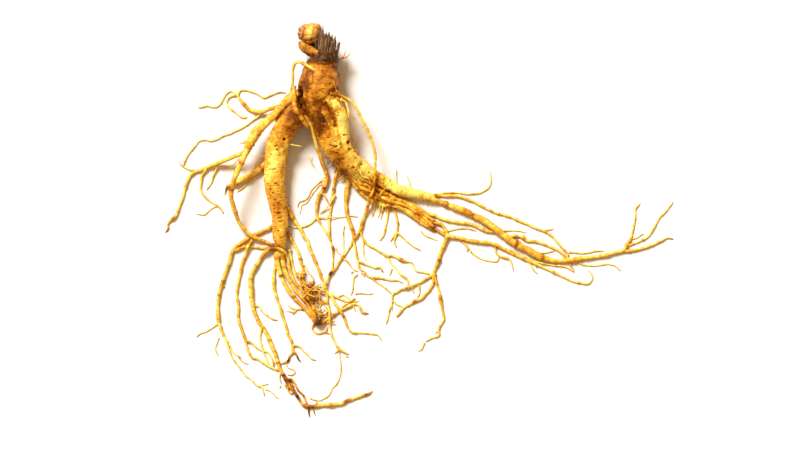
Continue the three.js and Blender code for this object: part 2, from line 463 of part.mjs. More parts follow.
const RIGHT_ROOTS = [
  // the long root of the right side, out to the far right tip
  [
    [3, 14.3, 2, 0], [8, 12.6, 1.7], [12, 11.5, 1.7], [17, 9.5, 1.8], [22, 7.8, 1.9], [27, 6, 2],
    [32, 3.5, 2.1],
    [37, 1, 2.2], [41, -1.5, 2.4], [45, -4.7, 2.7], [48, -7, 2.4], [52, -10, 2.3], [56, -12.7, 2.5],
    [60, -14.8, 2.4], [65, -17.5, 2.3], [70, -20.5, 2.2], [75, -22.5, 1.9], [80, -23.8, 1.6],
    [85, -24, 1.5],
    [90, -23.5, 1.6], [95, -22.8], [100, -22.3, 1.4], [105, -21.6, 1.3], [110, -20.8, 1.2],
    [115, -19.7, 1.1],
    [120, -18.5], [125, -18, 1], [130, -17.3, 0.9], [135, -16, 0.8], [140, -14.3], [145, -12, 0.7],
    [148.5, -10.2, 0.5], [152.4, -10.8, 0.4],
  ],
  // root that leaves the elbow and runs below it
  [
    [15.8, -8.8, 1.3, 0], [22, -10, 1.2], [27, -11], [32, -11.8], [37, -12.5], [42, -13.5], [46, -14.8],
    [50, -16.5, 1.1], [55, -18.9], [60, -21.4], [65, -23.7, 1], [70, -25.8], [75, -27.9, 0.8], [80, -30.3],
    [85, -32.8, 0.7], [90, -35.2], [97, -37], [101, -37.5, 0.5], [103, -35.8], [103.5, -33],
    [101, -29, 0.4],
  ],
  [
    [53, -10, 1.1, 0.6], [57, -9, 0.95, 0.2], [60, -9.2, 0.9, 0], [62.5, -10.6, 1.2], [65, -11.8, 0.9],
    [69, -12],
    [73, -13.3], [76, -14.3], [79, -15.5, 0.8], [82, -17], [84, -18.5], [86, -20.5], [88, -23],
  ],
  [[62.4, -10.8, 0.9, 0.2], [62.6, -8, 0.6, 0.2]],
  [
    [45.5, -14.5, 0.7, 0], [45.8, -18.5], [48, -21, 0.8], [51, -22], [53.5, -22.8], [55, -25.5, 0.5],
    [56.3, -30, 0.4],
  ],
  [[88, -20, 0.7, 0], [90.4, -26, 0.7], [92, -28.5, 0.6], [92.7, -31, 0.5]],
  [[22, -10.3, 0.7, 0], [26, -13, 0.6], [28, -15], [28.7, -18.7, 0.45]],
  // forked tips
  [
    [122, -18.2, 1, 0], [124, -15, 1], [126.5, -11, 0.9], [127.5, -7.5, 0.6], [128, -4.5], [129.5, 2, 0.5],
    [129.7, 7.5], [132.5, 10.5, 0.4],
  ],
  [
    [124, -15, 0.7, 0], [128, -14, 0.6], [132, -12.3], [137, -9.3], [140.5, -4.5], [144.5, 2.5, 0.5],
    [148, 6], [152.4, 11.6, 0.4],
  ],
];

const LOWER_RIGHT_ROOTS = [
  [
    [8.2, -32, 1, 0], [5, -34, 0.8], [2, -36], [0, -37.2, 0.7], [-3, -38.3], [-6.5, -39.7], [-9, -40.5],
    [-11.5, -41], [-14, -43], [-16.5, -44.2], [-16.5, -47, 0.6], [-17, -50], [-18.5, -54, 0.5],
    [-19.5, -58.5], [-20.3, -62, 0.4],
  ],
  [
    [8.2, -32, 1, 0], [8, -36, 0.9], [7, -39], [5.5, -41.5], [3.5, -44], [2, -46.3, 0.8], [-0.5, -47.5],
    [-3.5, -48.2, 1], [-6, -50, 0.7], [-10, -52.3], [-12.5, -56], [-14, -57.5, 0.9],
  ],
  [
    [8.4, -31.5, 1, 0], [9.5, -37, 0.9], [10.5, -40, 0.8], [12, -43], [12.2, -46, 1.3], [12.5, -49, 1.1],
    [13, -52, 0.8], [13.7, -55.5], [14, -59], [13, -61.5, 0.7], [11.8, -63.5], [11.3, -66],
    [11.5, -68.5, 0.6], [6.5, -70.5, 0.5], [3.5, -72.5, 0.5],
  ],
];

// ---------------------------------------------------------------- shapes
// Rows with every radius and lift filled in.
function filledIn(rows) {
  let [, , radius, lift] = rows[0];
  return rows.map(([x, y, r = radius, l = lift]) => {
    radius = r;
    lift = l;
    return [x, y, r, l];
  });
}

// How far a row lies from the straight run between two others, its radius counted as a fourth
// coordinate.
function offRun(row, from, to) {
  const run = to.map((v, i) => v - from[i]);
  const gap = row.map((v, i) => v - from[i]);
  const square = run.reduce((sum, v) => sum + v * v, 0);
  const share = run.reduce((sum, v, i) => sum + v * gap[i], 0) / square;
  return Math.hypot(...gap.map((v, i) => v - share * run[i]));
}

// The fewest rows that keep the route within ROUTE_TOLERANCE.
function sparse(rows) {
  if (rows.length < 3) return rows;
  const from = rows[0];
  const to = rows.at(-1);
  const offsets = rows.slice(1, -1).map((row) => offRun(row, from, to));
  const worst = Math.max(...offsets);
  if (worst < ROUTE_TOLERANCE) return [from, to];
  const split = offsets.indexOf(worst) + 1;
  return [...sparse(rows.slice(0, split + 1)), ...sparse(rows.slice(split)).slice(1)];
}

// The same limb with a station every `step` millimetres, on smooth curves.
function resampled(stations, step) {
  const path = new THREE.CatmullRomCurve3(
    stations.map(([x, y, z]) => new THREE.Vector3(x, y, z)),
    false,
    "centripetal",
  );
  const girth = new THREE.SplineCurve(stations.map(([, , , r], i) => new THREE.Vector2(i, r)));
  const count = Math.round(path.getLength() / step);
  return Array.from({ length: count + 1 }, (_, i) => {
    const t = i / count;
    const p = path.getPoint(t);
    return [p.x, p.y, p.z, girth.getPoint(t).y];
  });
}

// A closed tube through the stations, with pointed, rounded ends. `relief` gives the height of the
// skin over the plain tube at a distance along it and an angle round it.
function tube(stations, sides, relief = () => 0) {
  const centres = stations.map(([x, y, z]) => new THREE.Vector3(x, y, z));
  const last = centres.length - 1;
  const positions = [];
  const faces = [];
  let along = 0;
  centres.forEach((centre, i) => {
    const before = centres[Math.max(i - 1, 0)];
    const tangent = centres[Math.min(i + 1, last)].clone().sub(before).normalize();
    const normal = new THREE.Vector3(0, 0, 1).addScaledVector(tangent, -tangent.z).normalize();
    const binormal = tangent.clone().cross(normal);
    along += centre.distanceTo(before);
    for (let k = 0; k < sides; k++) {
      const angle = (2 * Math.PI * (k + 0.5)) / sides;
      const radius = stations[i][3] + relief(along, angle);
      const rim = centre
        .clone()
        .addScaledVector(normal, radius * Math.cos(angle))
        .addScaledVector(binormal, radius * Math.sin(angle));
      positions.push(rim.x, rim.y, rim.z);
    }
  });
  for (let i = 0; i < last; i++) {
    for (let k = 0; k < sides; k++) {
      const a = i * sides + k;
      const b = i * sides + ((k + 1) % sides);
      faces.push(a, b, b + sides, a, b + sides, a + sides);
    }
  }
  const apex = (end, neighbour, reach) => {
    const away = centres[end].clone().sub(centres[neighbour]).normalize();
    const tip = centres[end].clone().addScaledVector(away, reach);
    positions.push(tip.x, tip.y, tip.z);
    return positions.length / 3 - 1;
  };
  const foot = apex(0, 1, TIP_REACH * stations[0][3]);
  const head = apex(last, last - 1, TIP_REACH * stations[last][3]);
  for (let k = 0; k < sides; k++) {
    const next = (k + 1) % sides;
    faces.push(foot, next, k, head, last * sides + k, last * sides + next);
  }
  return solid(positions, faces);
}

function solid(positions, faces) {
  return new wasm.Manifold(
    new wasm.Mesh({
      numProp: 3,
      vertProperties: new Float32Array(positions),
      triVerts: new Uint32Array(faces),
    }),
  );
}

// A root on its flat underside. Its section has the area of a circle of the row's radius.
function lyingRoot(rows) {
  const route = sparse(filledIn(rows));
  const girth = route.reduce((sum, [, , r]) => sum + r, 0) / route.length;
  const sides = girth > FIBRE_RADIUS ? ROOT_SIDES : FIBRE_SIDES;
  const corner = Math.sqrt((2 * Math.PI) / (sides * Math.sin((2 * Math.PI) / sides)));
  const flat = corner * Math.cos(Math.PI / sides);
  return tube(route.map(([x, y, r, lift]) => [x, y, flat * r + lift, corner * r]), sides);
}

function lobed(lobes, along, angle) {
  return lobes
    .map(([height, count, turn]) => height * Math.sin(count * angle + along / turn))
    .reduce((sum, swell) => sum + swell);
}

// Rings and shallow lobes of the main root's skin.
function bodyRelief(along, angle) {
  const phase = (2 * Math.PI * along) / WRINKLE_PITCH + WRINKLE_WAVE * Math.sin(3 * angle);
  return WRINKLE_DEPTH * Math.sin(phase) + lobed(BODY_LOBES, along, angle);
}

function limbRelief(along, angle) {
  return lobed(LIMB_LOBES, along, angle);
}

function joined(solids) {
  return solids.reduce((whole, piece) => whole.add(piece));
}

function wholeRoot() {
  const limbs = [
    tube(resampled(MAIN_ROOT, BODY_STEP), BODY_SIDES, bodyRelief),
    tube(resampled(LEFT_LEG, LIMB_STEP), LIMB_SIDES, limbRelief),
    tube(resampled(FINGER_ROOT, LIMB_STEP), LIMB_SIDES),
    tube(resampled(LEFT_ARM, LIMB_STEP), LIMB_SIDES),
    tube(resampled(RIGHT_TRUNK, LIMB_STEP), LIMB_SIDES, limbRelief),
    tube(LEFT_LEG_LUMP, LIMB_SIDES),
    tube(resampled(RHIZOME_ARM, LIMB_STEP / 2), LIMB_SIDES),
  ];
  const lying = [
    ...CROWN_ROOTS,
    ...CROTCH_ROOTS,
    ...LEFT_ARM_ROOTS,
    ...LEFT_OUTER_ROOTS,
    ...LEFT_BUNDLE_ROOTS,
    ...KNOT_ROOTS,
    ...MIDDLE_ROOTS,
    ...RIGHT_BUNDLE_ROOTS,
    ...RIGHT_ROOTS,
    ...LOWER_RIGHT_ROOTS,
  ].map(lyingRoot);
  return joined([joined(limbs).trimByPlane([0, 0, 1], 0), ...lying]).simplify(SLIVER);
}

// The bud: a lumpy ball of swollen lobes.
function winterBud() {
  return joined(
    BUD_LOBES.map(([x, y, z, radius]) => {
      const c = BUD_CENTRE.clone().add(new THREE.Vector3(x, y, z));
      const stations = BUD_PROFILE.map(([along, share]) => [c.x, c.y + along * radius, c.z, share * radius]);
      return tube(stations, LIMB_SIDES);
    }),
  );
}

function stemStump() {
  const stations = STUMP_SHARES.map((t) => {
    const p = STUMP_FOOT.clone().lerp(STUMP_TOP, t);
    return [p.x, p.y, p.z, STUMP_RADIUS * (1 - STUMP_TAPER * t)];
  });
  return tube(stations, LIMB_SIDES, (along, angle) => lobed(STUMP_LOBES, along, angle));
}

// A dry scale: a strip bent round the stump's axis, narrowing to its tip and leaning out.
function dryScale({ bearing, whorl, length, width, lean }) {
  const axis = STUMP_TOP.clone().sub(STUMP_FOOT).normalize();
  const up = new THREE.Vector3(0, 0, 1);
  const side = axis.clone().cross(up).normalize();
  const crest = side.clone().cross(axis);
  const inner = STUMP_RADIUS + SCALE_CLEARANCE + whorl * (SCALE_THICKNESS + SCALE_CLEARANCE);
  const positions = [];
  const faces = [];
  const place = (radius, angle, reach) => {
    const p = STUMP_FOOT.clone()
      .addScaledVector(axis, reach)
      .addScaledVector(side, radius * Math.sin(angle))
      .addScaledVector(crest, radius * Math.cos(angle));
    positions.push(p.x, p.y, p.z);
  };
  for (let i = 0; i <= SCALE_ROWS; i++) {
    const t = i / SCALE_ROWS;
    const halfAngle = (0.5 * width * Math.sqrt(1 - SCALE_TAPER * t * t)) / inner;
    const radius = inner + SCALE_SLACK + lean * t * t;
    const angles = Array.from(
      { length: SCALE_STRIPS + 1 },
      (_, k) => bearing + halfAngle * ((2 * k) / SCALE_STRIPS - 1),
    );
    const reach = (angle) => SCALE_FOOT + length * t - FOOT_SLOPE * (1 - t) * inner * Math.sin(angle);
    angles.forEach((angle) => place(radius + SCALE_THICKNESS, angle, reach(angle)));
    angles.reverse().forEach((angle) => place(radius, angle, reach(angle)));
  }
  const around = 2 * (SCALE_STRIPS + 1);
  for (let i = 0; i < SCALE_ROWS; i++) {
    for (let k = 0; k < around; k++) {
      const a = i * around + k;
      const b = i * around + ((k + 1) % around);
      faces.push(a, b, b + around, a, b + around, a + around);
    }
  }
  for (let k = 0; k < SCALE_STRIPS; k++) {
    const across = around - 1 - k;
    faces.push(k, across, k + 1, k + 1, across, across - 1);
    const end = SCALE_ROWS * around;
    faces.push(end + k, end + k + 1, end + across, end + k + 1, end + across - 1, end + across);
  }
  return solid(positions, faces);
}

const SCALES = [
  { bearing: -1.15, whorl: 0, length: 12.2, width: 5.2, lean: 0.5 },
  { bearing: 0.5, whorl: 0, length: 10.4, width: 5.2, lean: 0.6 },
  { bearing: 2.1, whorl: 0, length: 8, width: 5.2, lean: 0.4 },
  { bearing: -2.75, whorl: 0, length: 8, width: 5, lean: 0.4 },
  { bearing: -0.45, whorl: 1, length: 14.6, width: 5, lean: 0.2 },
  { bearing: 1.15, whorl: 1, length: 8.4, width: 5.2, lean: 0.9 },
  { bearing: 2.75, whorl: 1, length: 6.6, width: 5.2, lean: 0.5 },
  { bearing: -1.95, whorl: 1, length: 7.4, width: 5.2, lean: 0.6 },
];

// ---------------------------------------------------------------- finishes
const FINISHES = {
  root_skin: { color: 0xe0a243, roughness: 0.5, metalness: 0 },
  bud_skin: { color: 0xe6b24c, roughness: 0.48, metalness: 0 },
  stump_bark: { color: 0x4b3722, roughness: 0.85, metalness: 0 },
  dry_scale: { color: 0x6b4d2c, roughness: 0.82, metalness: 0 },
};

function mesh(name, shape, finish) {
  const { vertProperties, triVerts } = shape.getMesh();
  const geometry = new THREE.BufferGeometry();
  geometry.setAttribute("position", new THREE.BufferAttribute(vertProperties, 3));
  geometry.setIndex(new THREE.BufferAttribute(triVerts, 1));
  geometry.computeVertexNormals();
  const made = new THREE.Mesh(geometry, new THREE.MeshStandardMaterial(FINISHES[finish]));
  made.name = name;
  return made;
}

const ginseng = new THREE.Group();
ginseng.name = "ginseng_root";
ginseng.add(mesh("root", wholeRoot(), "root_skin"));
ginseng.add(mesh("winter_bud", winterBud(), "bud_skin"));
ginseng.add(mesh("stem_stump", stemStump(), "stump_bark"));
SCALES.forEach((scale, i) => {
  ginseng.add(mesh(`dry_scale_${i + 1}`, dryScale(scale), "dry_scale"));
});

export default ginseng;
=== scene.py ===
import math
import random
import bpy
import numpy as np
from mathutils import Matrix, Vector, kdtree


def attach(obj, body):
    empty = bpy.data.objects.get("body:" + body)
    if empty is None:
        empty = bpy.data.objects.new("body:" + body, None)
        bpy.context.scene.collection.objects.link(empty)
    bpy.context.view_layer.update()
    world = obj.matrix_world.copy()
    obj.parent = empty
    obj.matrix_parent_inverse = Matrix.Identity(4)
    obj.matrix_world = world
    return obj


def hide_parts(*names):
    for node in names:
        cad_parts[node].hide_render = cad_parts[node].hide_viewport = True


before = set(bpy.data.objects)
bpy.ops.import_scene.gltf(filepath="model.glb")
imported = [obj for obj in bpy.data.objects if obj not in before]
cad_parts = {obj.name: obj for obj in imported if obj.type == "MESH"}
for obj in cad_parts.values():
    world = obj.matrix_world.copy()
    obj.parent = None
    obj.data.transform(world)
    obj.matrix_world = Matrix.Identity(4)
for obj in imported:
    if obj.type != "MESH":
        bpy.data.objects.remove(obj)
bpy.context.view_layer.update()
bpy.ops.object.select_all(action="DESELECT")
print("frame loaded")

# A ginseng root on a flat surface. Lengths are in millimetres and become metres in the meshes.
mm = 0.001

# Thick limbs, as x, y, z and radius of their centrelines.
mainRoot = [
  [-58.8, 100.4, 11.4, 6.5], [-58.4, 98.6, 11.4, 8.4], [-58.1, 96.4, 11.4, 9.3],
  [-58.5, 94.4, 11.5, 9.3], [-59, 92.4, 11.7, 9.8], [-59.3, 90, 11.8, 10.8], [-59.5, 85, 12, 12.2],
  [-60.3, 80, 12.3, 12.7], [-60, 75, 12.2, 12.5], [-58.8, 70, 11.7, 12], [-57, 65, 11, 11.1],
  [-55.6, 60, 10.4, 10.1], [-53.8, 55, 10, 9.5], [-52, 50, 9.6, 9.3], [-50.3, 45, 9.2, 9.1],
  [-47, 40, 8.4, 8.4], [-43, 35.5, 7.2, 7.2], [-38.8, 31.6, 6.2, 5.9], [-34.8, 28, 5.2, 4.5],
  [-31, 24.6, 4.2, 3.2],
]

fingerRoot = [
  [-51.5, 72.5, 20.4, 2.6], [-49.5, 68, 18.8, 3.6], [-47.5, 63, 17.2, 3.8], [-46.5, 57, 15.4, 3.8],
  [-46, 51, 14.2, 3.9], [-45, 45, 13, 4.2], [-42.5, 39.5, 11, 4.3], [-38, 34.8, 8.6, 4.4],
]

leftLeg = [
  [-69, 70, 11.5, 7], [-73, 65, 11, 7.1], [-77.5, 60, 10, 7.3], [-81.5, 54, 8.9, 7.1],
  [-84.5, 47.5, 7.8, 6.9], [-86.2, 40, 7, 6.9], [-86.8, 32, 6.4, 6.7], [-86.9, 24, 6.3, 6.6],
  [-86.2, 16, 5.7, 6], [-85, 8, 5.1, 5.4], [-84, 0, 4.6, 4.8], [-84, -8, 4.3, 4.5],
  [-83.6, -13, 3.6, 3.6], [-83.4, -17, 2.6, 2.6], [-83.2, -21, 1.7, 1.5],
]

leftLegLump = [
  [-84.2, 51.5, 10.5, 3.4], [-80.8, 47.6, 10.6, 3.7], [-82.5, 43.5, 9.4, 3.2],
]

leftArm = [
  [-67, 77.5, 12.5, 5], [-72, 75, 11.6, 4.3], [-77, 73, 10.7, 3.6], [-80.5, 69.8, 10.4, 3.1],
  [-84.5, 66, 10.5, 2.8], [-89, 62, 10.7, 2.75], [-94, 57.5, 11, 2.9], [-98, 53, 11.3, 3],
  [-101, 48, 11.5, 2.9], [-103.6, 43.5, 11.7, 2.4],
]

rightTrunk = [
  [-38, 34.5, 6.4, 5.4], [-33, 30.3, 5.6, 4.9], [-27, 26.5, 4.5, 4.1], [-21, 23.5, 3.8, 3.6],
  [-17, 20.5, 3.7, 3.7], [-13, 18.3, 3.7, 3.8], [-9, 17.6, 3.4, 3.4], [-3, 16.2, 2.8, 2.9],
  [3, 15, 2.4, 2.5], [9, 13.2, 1.9, 2],
]

rhizomeArm = [
  [-71.4, 107.8, 11.4, 1.8], [-70.4, 105.6, 11.6, 2.7], [-68.4, 103.4, 12, 3.2],
  [-65.6, 101.6, 12.6, 3.3], [-62, 99.8, 13.4, 3.2], [-58.4, 97.8, 13.8, 3.2],
  [-55, 96.2, 13.6, 3.2],
]

neckFill = [  # dark neck between the bud, the arm below it and the stump
  [-65.4, 106.8, 10.6, 1.6], [-64, 104.6, 10.8, 2.6], [-62, 102, 11.2, 3.8], [-60, 99.6, 11.4, 5],
]

# Lying roots: x, y, radius, and lift of the underside above the surface. A row that leaves out the
# radius or the lift has those of the row before it.
crownRoots = [
  # loop that springs over the shoulder and dives into the arm
  [[-58.5, 85.5, 1, 21], [-60.5, 87.5, 1, 21.6], [-62.5, 89.5, 1, 21.3], [-64.5, 91, 1.1, 20],
   [-66.5, 92.2, 1, 18.6], [-69, 93.5, 1.1, 17], [-71, 94.5, 1, 15.8], [-73, 94.8, 1, 14.8],
   [-74.7, 94, 1, 14], [-75.6, 91.5, 1, 13], [-76.1, 88.5, 1, 12.2], [-76.1, 84, 1, 11.2],
   [-76.6, 79.5, 1.1, 10], [-77, 75.5, 1.4, 8.6]],
  # strand along the groove between the main root and the left leg
  [[-75.6, 80.5, 1.2, 12], [-75.4, 77.5, 1.3, 13.8], [-75.2, 74, 1.4, 15.2],
   [-74.9, 70, 1.5, 16.6], [-74.1, 66.4, 1.6, 17.2], [-71.4, 62.4, 1.6, 16.2],
   [-68.8, 58.8, 1.5, 14.4], [-66.6, 55.5, 1.4, 12.4]],
  # fibre forked at the collar
  [[-55, 94.5, 0.7, 10.6], [-50, 96.6, 0.6, 10.6], [-47, 97.3, 0.5, 10.6], [-44, 98.2, 0.45, 10.4],
   [-41.5, 100.5, 0.35, 10.2]],
  [[-47, 97.3, 0.45, 10.6], [-45.5, 98.8, 0.4, 11], [-44.5, 102.3, 0.35, 11.4]],
]

crotchRoots = [
  # root that hangs between the legs and forks on the surface
  [[-71, 65.5, 1.1, 16], [-68.5, 62.5, 1.2, 14.6], [-66, 59, 1.3, 12.8], [-64.5, 55, 1.3, 11.2],
   [-63.8, 52, 1.3, 10], [-62, 45, 1.4, 7.4], [-60, 39, 1.5, 5.4], [-58.5, 34, 1.5, 3.6],
   [-57, 30, 1.4, 2.2], [-56, 27, 1.4, 1.2], [-56.3, 23, 1.4, 0.4], [-57.5, 20, 1.3, 0], [-60, 16],
   [-61.3, 13, 1.2], [-62, 9], [-62.3, 5, 1.1], [-61.8, 1, 1], [-60, -1.5, 0.7], [-57.5, -5.5],
   [-55.5, -9], [-53.5, -13], [-52.3, -16.5, 0.9], [-52.3, -20, 0.7], [-52.2, -25, 0.6],
   [-52.6, -28.5], [-54, -31.5, 0.9], [-55.5, -34.5, 0.8], [-57, -38, 1], [-56.5, -42]],
  [[-61.9, 2, 0.6, 0], [-66, -1.5, 0.5], [-72, -3.5], [-79.5, -3.5, 0.5]],
  # root that hangs off the inside of the right leg
  [[-46.5, 37, 1.2, 3], [-48, 33.5, 1.1, 2], [-50, 28, 1, 1], [-51.5, 23, 1, 0.4],
   [-52.3, 18, 1, 0], [-53.5, 11], [-54, 5, 0.8], [-54.5, -5], [-54.5, -9], [-53.5, -13.5, 0.8]],
]

leftArmRoots = [
  # upper fork of the arm, out to the far left tip
  [[-101.5, 46.5, 2.2, 9.2], [-104, 42, 1.9, 8.6], [-107, 40.5, 1.7, 7.4], [-111, 39, 1.6, 5.8],
   [-115, 37.3, 1.5, 4.2], [-119, 35.7, 1.5, 2.7], [-122, 34.5, 1.5, 1.6], [-126, 32.8, 1.3, 0.6],
   [-130, 31.3, 1.2, 0], [-134, 30, 1.1], [-137, 28.3], [-139, 25.5, 1], [-140.5, 22],
   [-141.5, 18, 0.9], [-142.8, 14], [-144.2, 10, 0.8], [-145.3, 6.5], [-146.5, 3.5],
   [-148, 2, 1.1], [-150, 0.3, 0.8], [-151.7, -2, 0.7], [-151.5, -4.5, 0.55], [-153, -7, 0.4]],
  # lower fork, over the stub root and round to the foot of the left leg
  [[-102.5, 44.5, 2.2, 9.4], [-105.5, 37.5, 1.8, 11.4], [-107.5, 33.5, 1.9, 12.8],
   [-109.5, 29, 1.9, 13.8], [-111.5, 24, 1.8, 14], [-112.8, 19, 1.8, 13.3], [-113, 14, 1.6, 11.8],
   [-112, 9.5, 1.6, 9.8], [-110.8, 5, 1.6, 7.6], [-109.3, 1, 1.5, 5.5], [-107, -3, 1.4, 3.9],
   [-104, -6.5, 1.4, 2.8], [-101, -9, 1.3, 2.1], [-98, -10.5, 1.3, 1.4], [-94, -12, 1.2, 0.4],
   [-90, -14, 1.2, 0], [-86, -14.5]],
  # stub root under the lower fork
  [[-88, 36, 2.4, 2], [-93, 34, 2.3, 0.8], [-96, 31.5, 2.2, 0.2], [-99, 29.5, 2.2, 0],
   [-102, 27.5, 2.1], [-106, 25], [-109, 24, 2.2], [-111, 22.5, 1.9], [-114, 21.5, 1.4],
   [-116, 20.5, 1.1], [-116.6, 18.5, 0.6]],
  [[-90, 39.2, 0.7, 5], [-95.5, 38.3, 0.5, 3.6], [-98, 35, 0.5, 3.2], [-99.5, 30, 0.5, 3]],
  # curl at the upper left and its long tip
  [[-80.5, 69, 1.6, 8.4], [-84, 68.4, 1.5, 7], [-87, 67.8, 1.4, 5.4], [-91, 66.7, 1.3, 3.2],
   [-95, 65.5, 1.3, 1.4], [-99, 66, 1.25, 0.4], [-103, 67.5, 1.2, 0], [-106, 70.5],
   [-108.5, 73.5, 1.1], [-110.5, 76, 0.8], [-113.5, 78.2, 0.55], [-116, 77, 0.5], [-117.8, 74.8],
   [-119, 72], [-120, 70.3], [-122, 68.7], [-125, 68.5], [-128, 69.3], [-132, 68.3],
   [-133.5, 68, 0.4]],
  [[-109.5, 75.5, 0.6, 0], [-108, 78.3, 0.5], [-105, 78.6], [-100, 77], [-97, 75.5], [-94, 74.2],
   [-89, 76, 0.45], [-84, 77.5], [-80.5, 77]],
  [[-110.5, 76, 0.6, 0], [-114.6, 74.3, 0.5], [-116.3, 71.2], [-114, 67.5], [-111, 65.3],
   [-106.5, 62.3], [-103.8, 62.3, 0.45]],
  # thin root from the curl to the left
  [[-94.5, 65.6, 0.7, 1.2], [-98.5, 62, 0.55, 0.3], [-104, 58, 0.5, 0], [-107.5, 56],
   [-113.5, 52.5], [-117, 51.7], [-122, 49.3], [-125, 48.5], [-131.5, 48.5], [-135, 45.5],
   [-139, 40.5], [-142, 34], [-142, 32.5, 0.4]],
  [[-128.5, 31.5, 0.9, 0.3], [-131, 27, 0.8, 0], [-131.8, 23], [-132, 20, 0.7], [-131, 17],
   [-129, 14.5], [-124.5, 11, 0.6], [-120, 7.5], [-118, 4.3, 0.5]],
  [[-121, 34.5, 0.6, 2], [-122.5, 31, 0.55, 0.8], [-124.8, 26.7, 0.7, 0], [-125.3, 24, 0.5],
   [-128.3, 18.7, 0.4]],
]

leftOuterRoots = [
  # root from the foot of the left leg to the far lower left
  [[-82, -7.5, 1.8, 1], [-85, -4.5, 1.6, 0.4], [-87.8, -3, 1.3, 0], [-91, -4.5, 1.2], [-94.5, -6],
   [-98, -7.5], [-101, -9], [-104, -11], [-107, -13], [-109.5, -15], [-112, -17.5, 1.2],
   [-114, -22, 1.3], [-115, -26, 1.2], [-116.5, -30], [-118, -34], [-119.3, -38], [-120.3, -42],
   [-121.3, -47, 1.1], [-121.7, -52, 1.2], [-121.5, -57, 1.4], [-121, -61, 1.3],
   [-119.5, -65.5, 1.1], [-118, -69.5, 0.9], [-116, -73], [-115, -77, 0.7], [-113, -82, 0.6],
   [-110, -86], [-107.5, -89.5], [-105, -93, 0.55], [-102, -94.8], [-98, -98.8],
   [-95.5, -99.5, 0.7], [-94.3, -102, 0.5], [-93.5, -105.5, 0.4]],
  [[-85, -15.5, 1.4, 0], [-89, -16.5, 1], [-94, -16.3, 0.8], [-99, -15.8], [-103, -15.3],
   [-107, -15.7, 0.9], [-112.5, -18.5, 1]],
  [[-99, -8.5, 1.1, 0], [-102, -13, 1.1], [-103.5, -15.5], [-104.3, -18.5], [-105.5, -22],
   [-107, -25.5, 1], [-107.5, -29], [-108.5, -33], [-109.3, -37], [-110, -41, 0.9], [-110.3, -45],
   [-109.5, -49], [-109.3, -53], [-109.5, -57, 1], [-109, -60], [-107.8, -64], [-106.3, -68],
   [-105, -72, 0.9], [-104.5, -74.5, 0.8], [-103.5, -78], [-101, -82], [-98.5, -82.5],
   [-95, -84.5], [-91.5, -87], [-88.5, -88.5], [-84.5, -90, 0.8]],
  [[-105, -72, 0.7, 0], [-101, -73.5, 0.6], [-98, -76], [-94.5, -78], [-91.5, -79],
   [-89.5, -81.5, 0.6, 0.3], [-88.3, -83.8, 0.6, 0.3], [-88, -88, 0.6, 0.2]],
  [[-84, -14, 2.4, 0], [-89, -16, 1.5], [-92, -18, 1.4], [-94.5, -21], [-97, -25],
   [-99.5, -28.5, 1.5], [-101, -32], [-101.8, -36, 1.6], [-101.8, -41], [-101.7, -45],
   [-101, -49, 1.4], [-100, -53], [-98.5, -57, 1.3], [-96.5, -61], [-94, -64.5],
   [-91.5, -69, 1.35], [-89.5, -74], [-87.5, -79, 1.3], [-85.8, -84], [-84.3, -88.5, 1.2],
   [-82.5, -92.5, 1.3], [-80.5, -96, 1.5], [-78, -99.5, 1.3], [-75.5, -103, 1.1], [-73, -107],
   [-70.5, -110.5], [-67, -111.6, 1.2], [-62.9, -111.2], [-58, -110.8, 1.1], [-52.2, -110.3],
   [-46.2, -109.6, 1], [-44.2, -108.3], [-40.3, -106.8, 0.9], [-35.3, -105.1],
   [-30.8, -103.9, 0.7], [-28.3, -102.1, 0.4]],
  [[-67, -111.6, 0.8, 0], [-66.8, -115.5, 0.5], [-66.3, -118, 0.45]],
  [[-81, -95.4, 0.9, 0.4], [-77.2, -95.6, 0.75, 0.2], [-73, -102, 0.7, 0], [-70.3, -104.5],
   [-68.8, -108], [-68, -112]],
  [[-100.5, -51, 0.6, 0], [-96.5, -51.5, 0.5], [-95, -54], [-92, -56.5], [-88, -59],
   [-85.5, -59.7, 0.4]],
  [[-95.3, -64, 0.6, 0], [-96, -70, 0.55], [-94.7, -77.5], [-92, -84], [-90, -87.8, 0.5]],
  # middle root under the left leg
  [[-84.5, -15, 1.2, 0], [-85.8, -22, 0.9], [-87.5, -30, 1], [-88, -35, 1.1], [-88, -40],
   [-87, -44], [-85.5, -48, 1], [-84, -52], [-83, -56], [-81.8, -60, 0.9], [-80.5, -64],
   [-79.5, -68.5], [-77.5, -71.5], [-76.3, -75.5], [-76.5, -79, 0.8], [-78.8, -81.5, 0.7],
   [-79.3, -83.7], [-81.5, -85, 0.6], [-83.5, -86, 0.5]],
  [[-76.4, -78, 0.7, 0], [-73.8, -81, 0.6], [-73, -83], [-71.5, -84.8, 0.4]],
  [[-76.5, -74.8, 0.6, 0], [-73, -75.3, 0.5], [-68.5, -79.3], [-65, -83], [-62.5, -83.8, 0.4]],
]

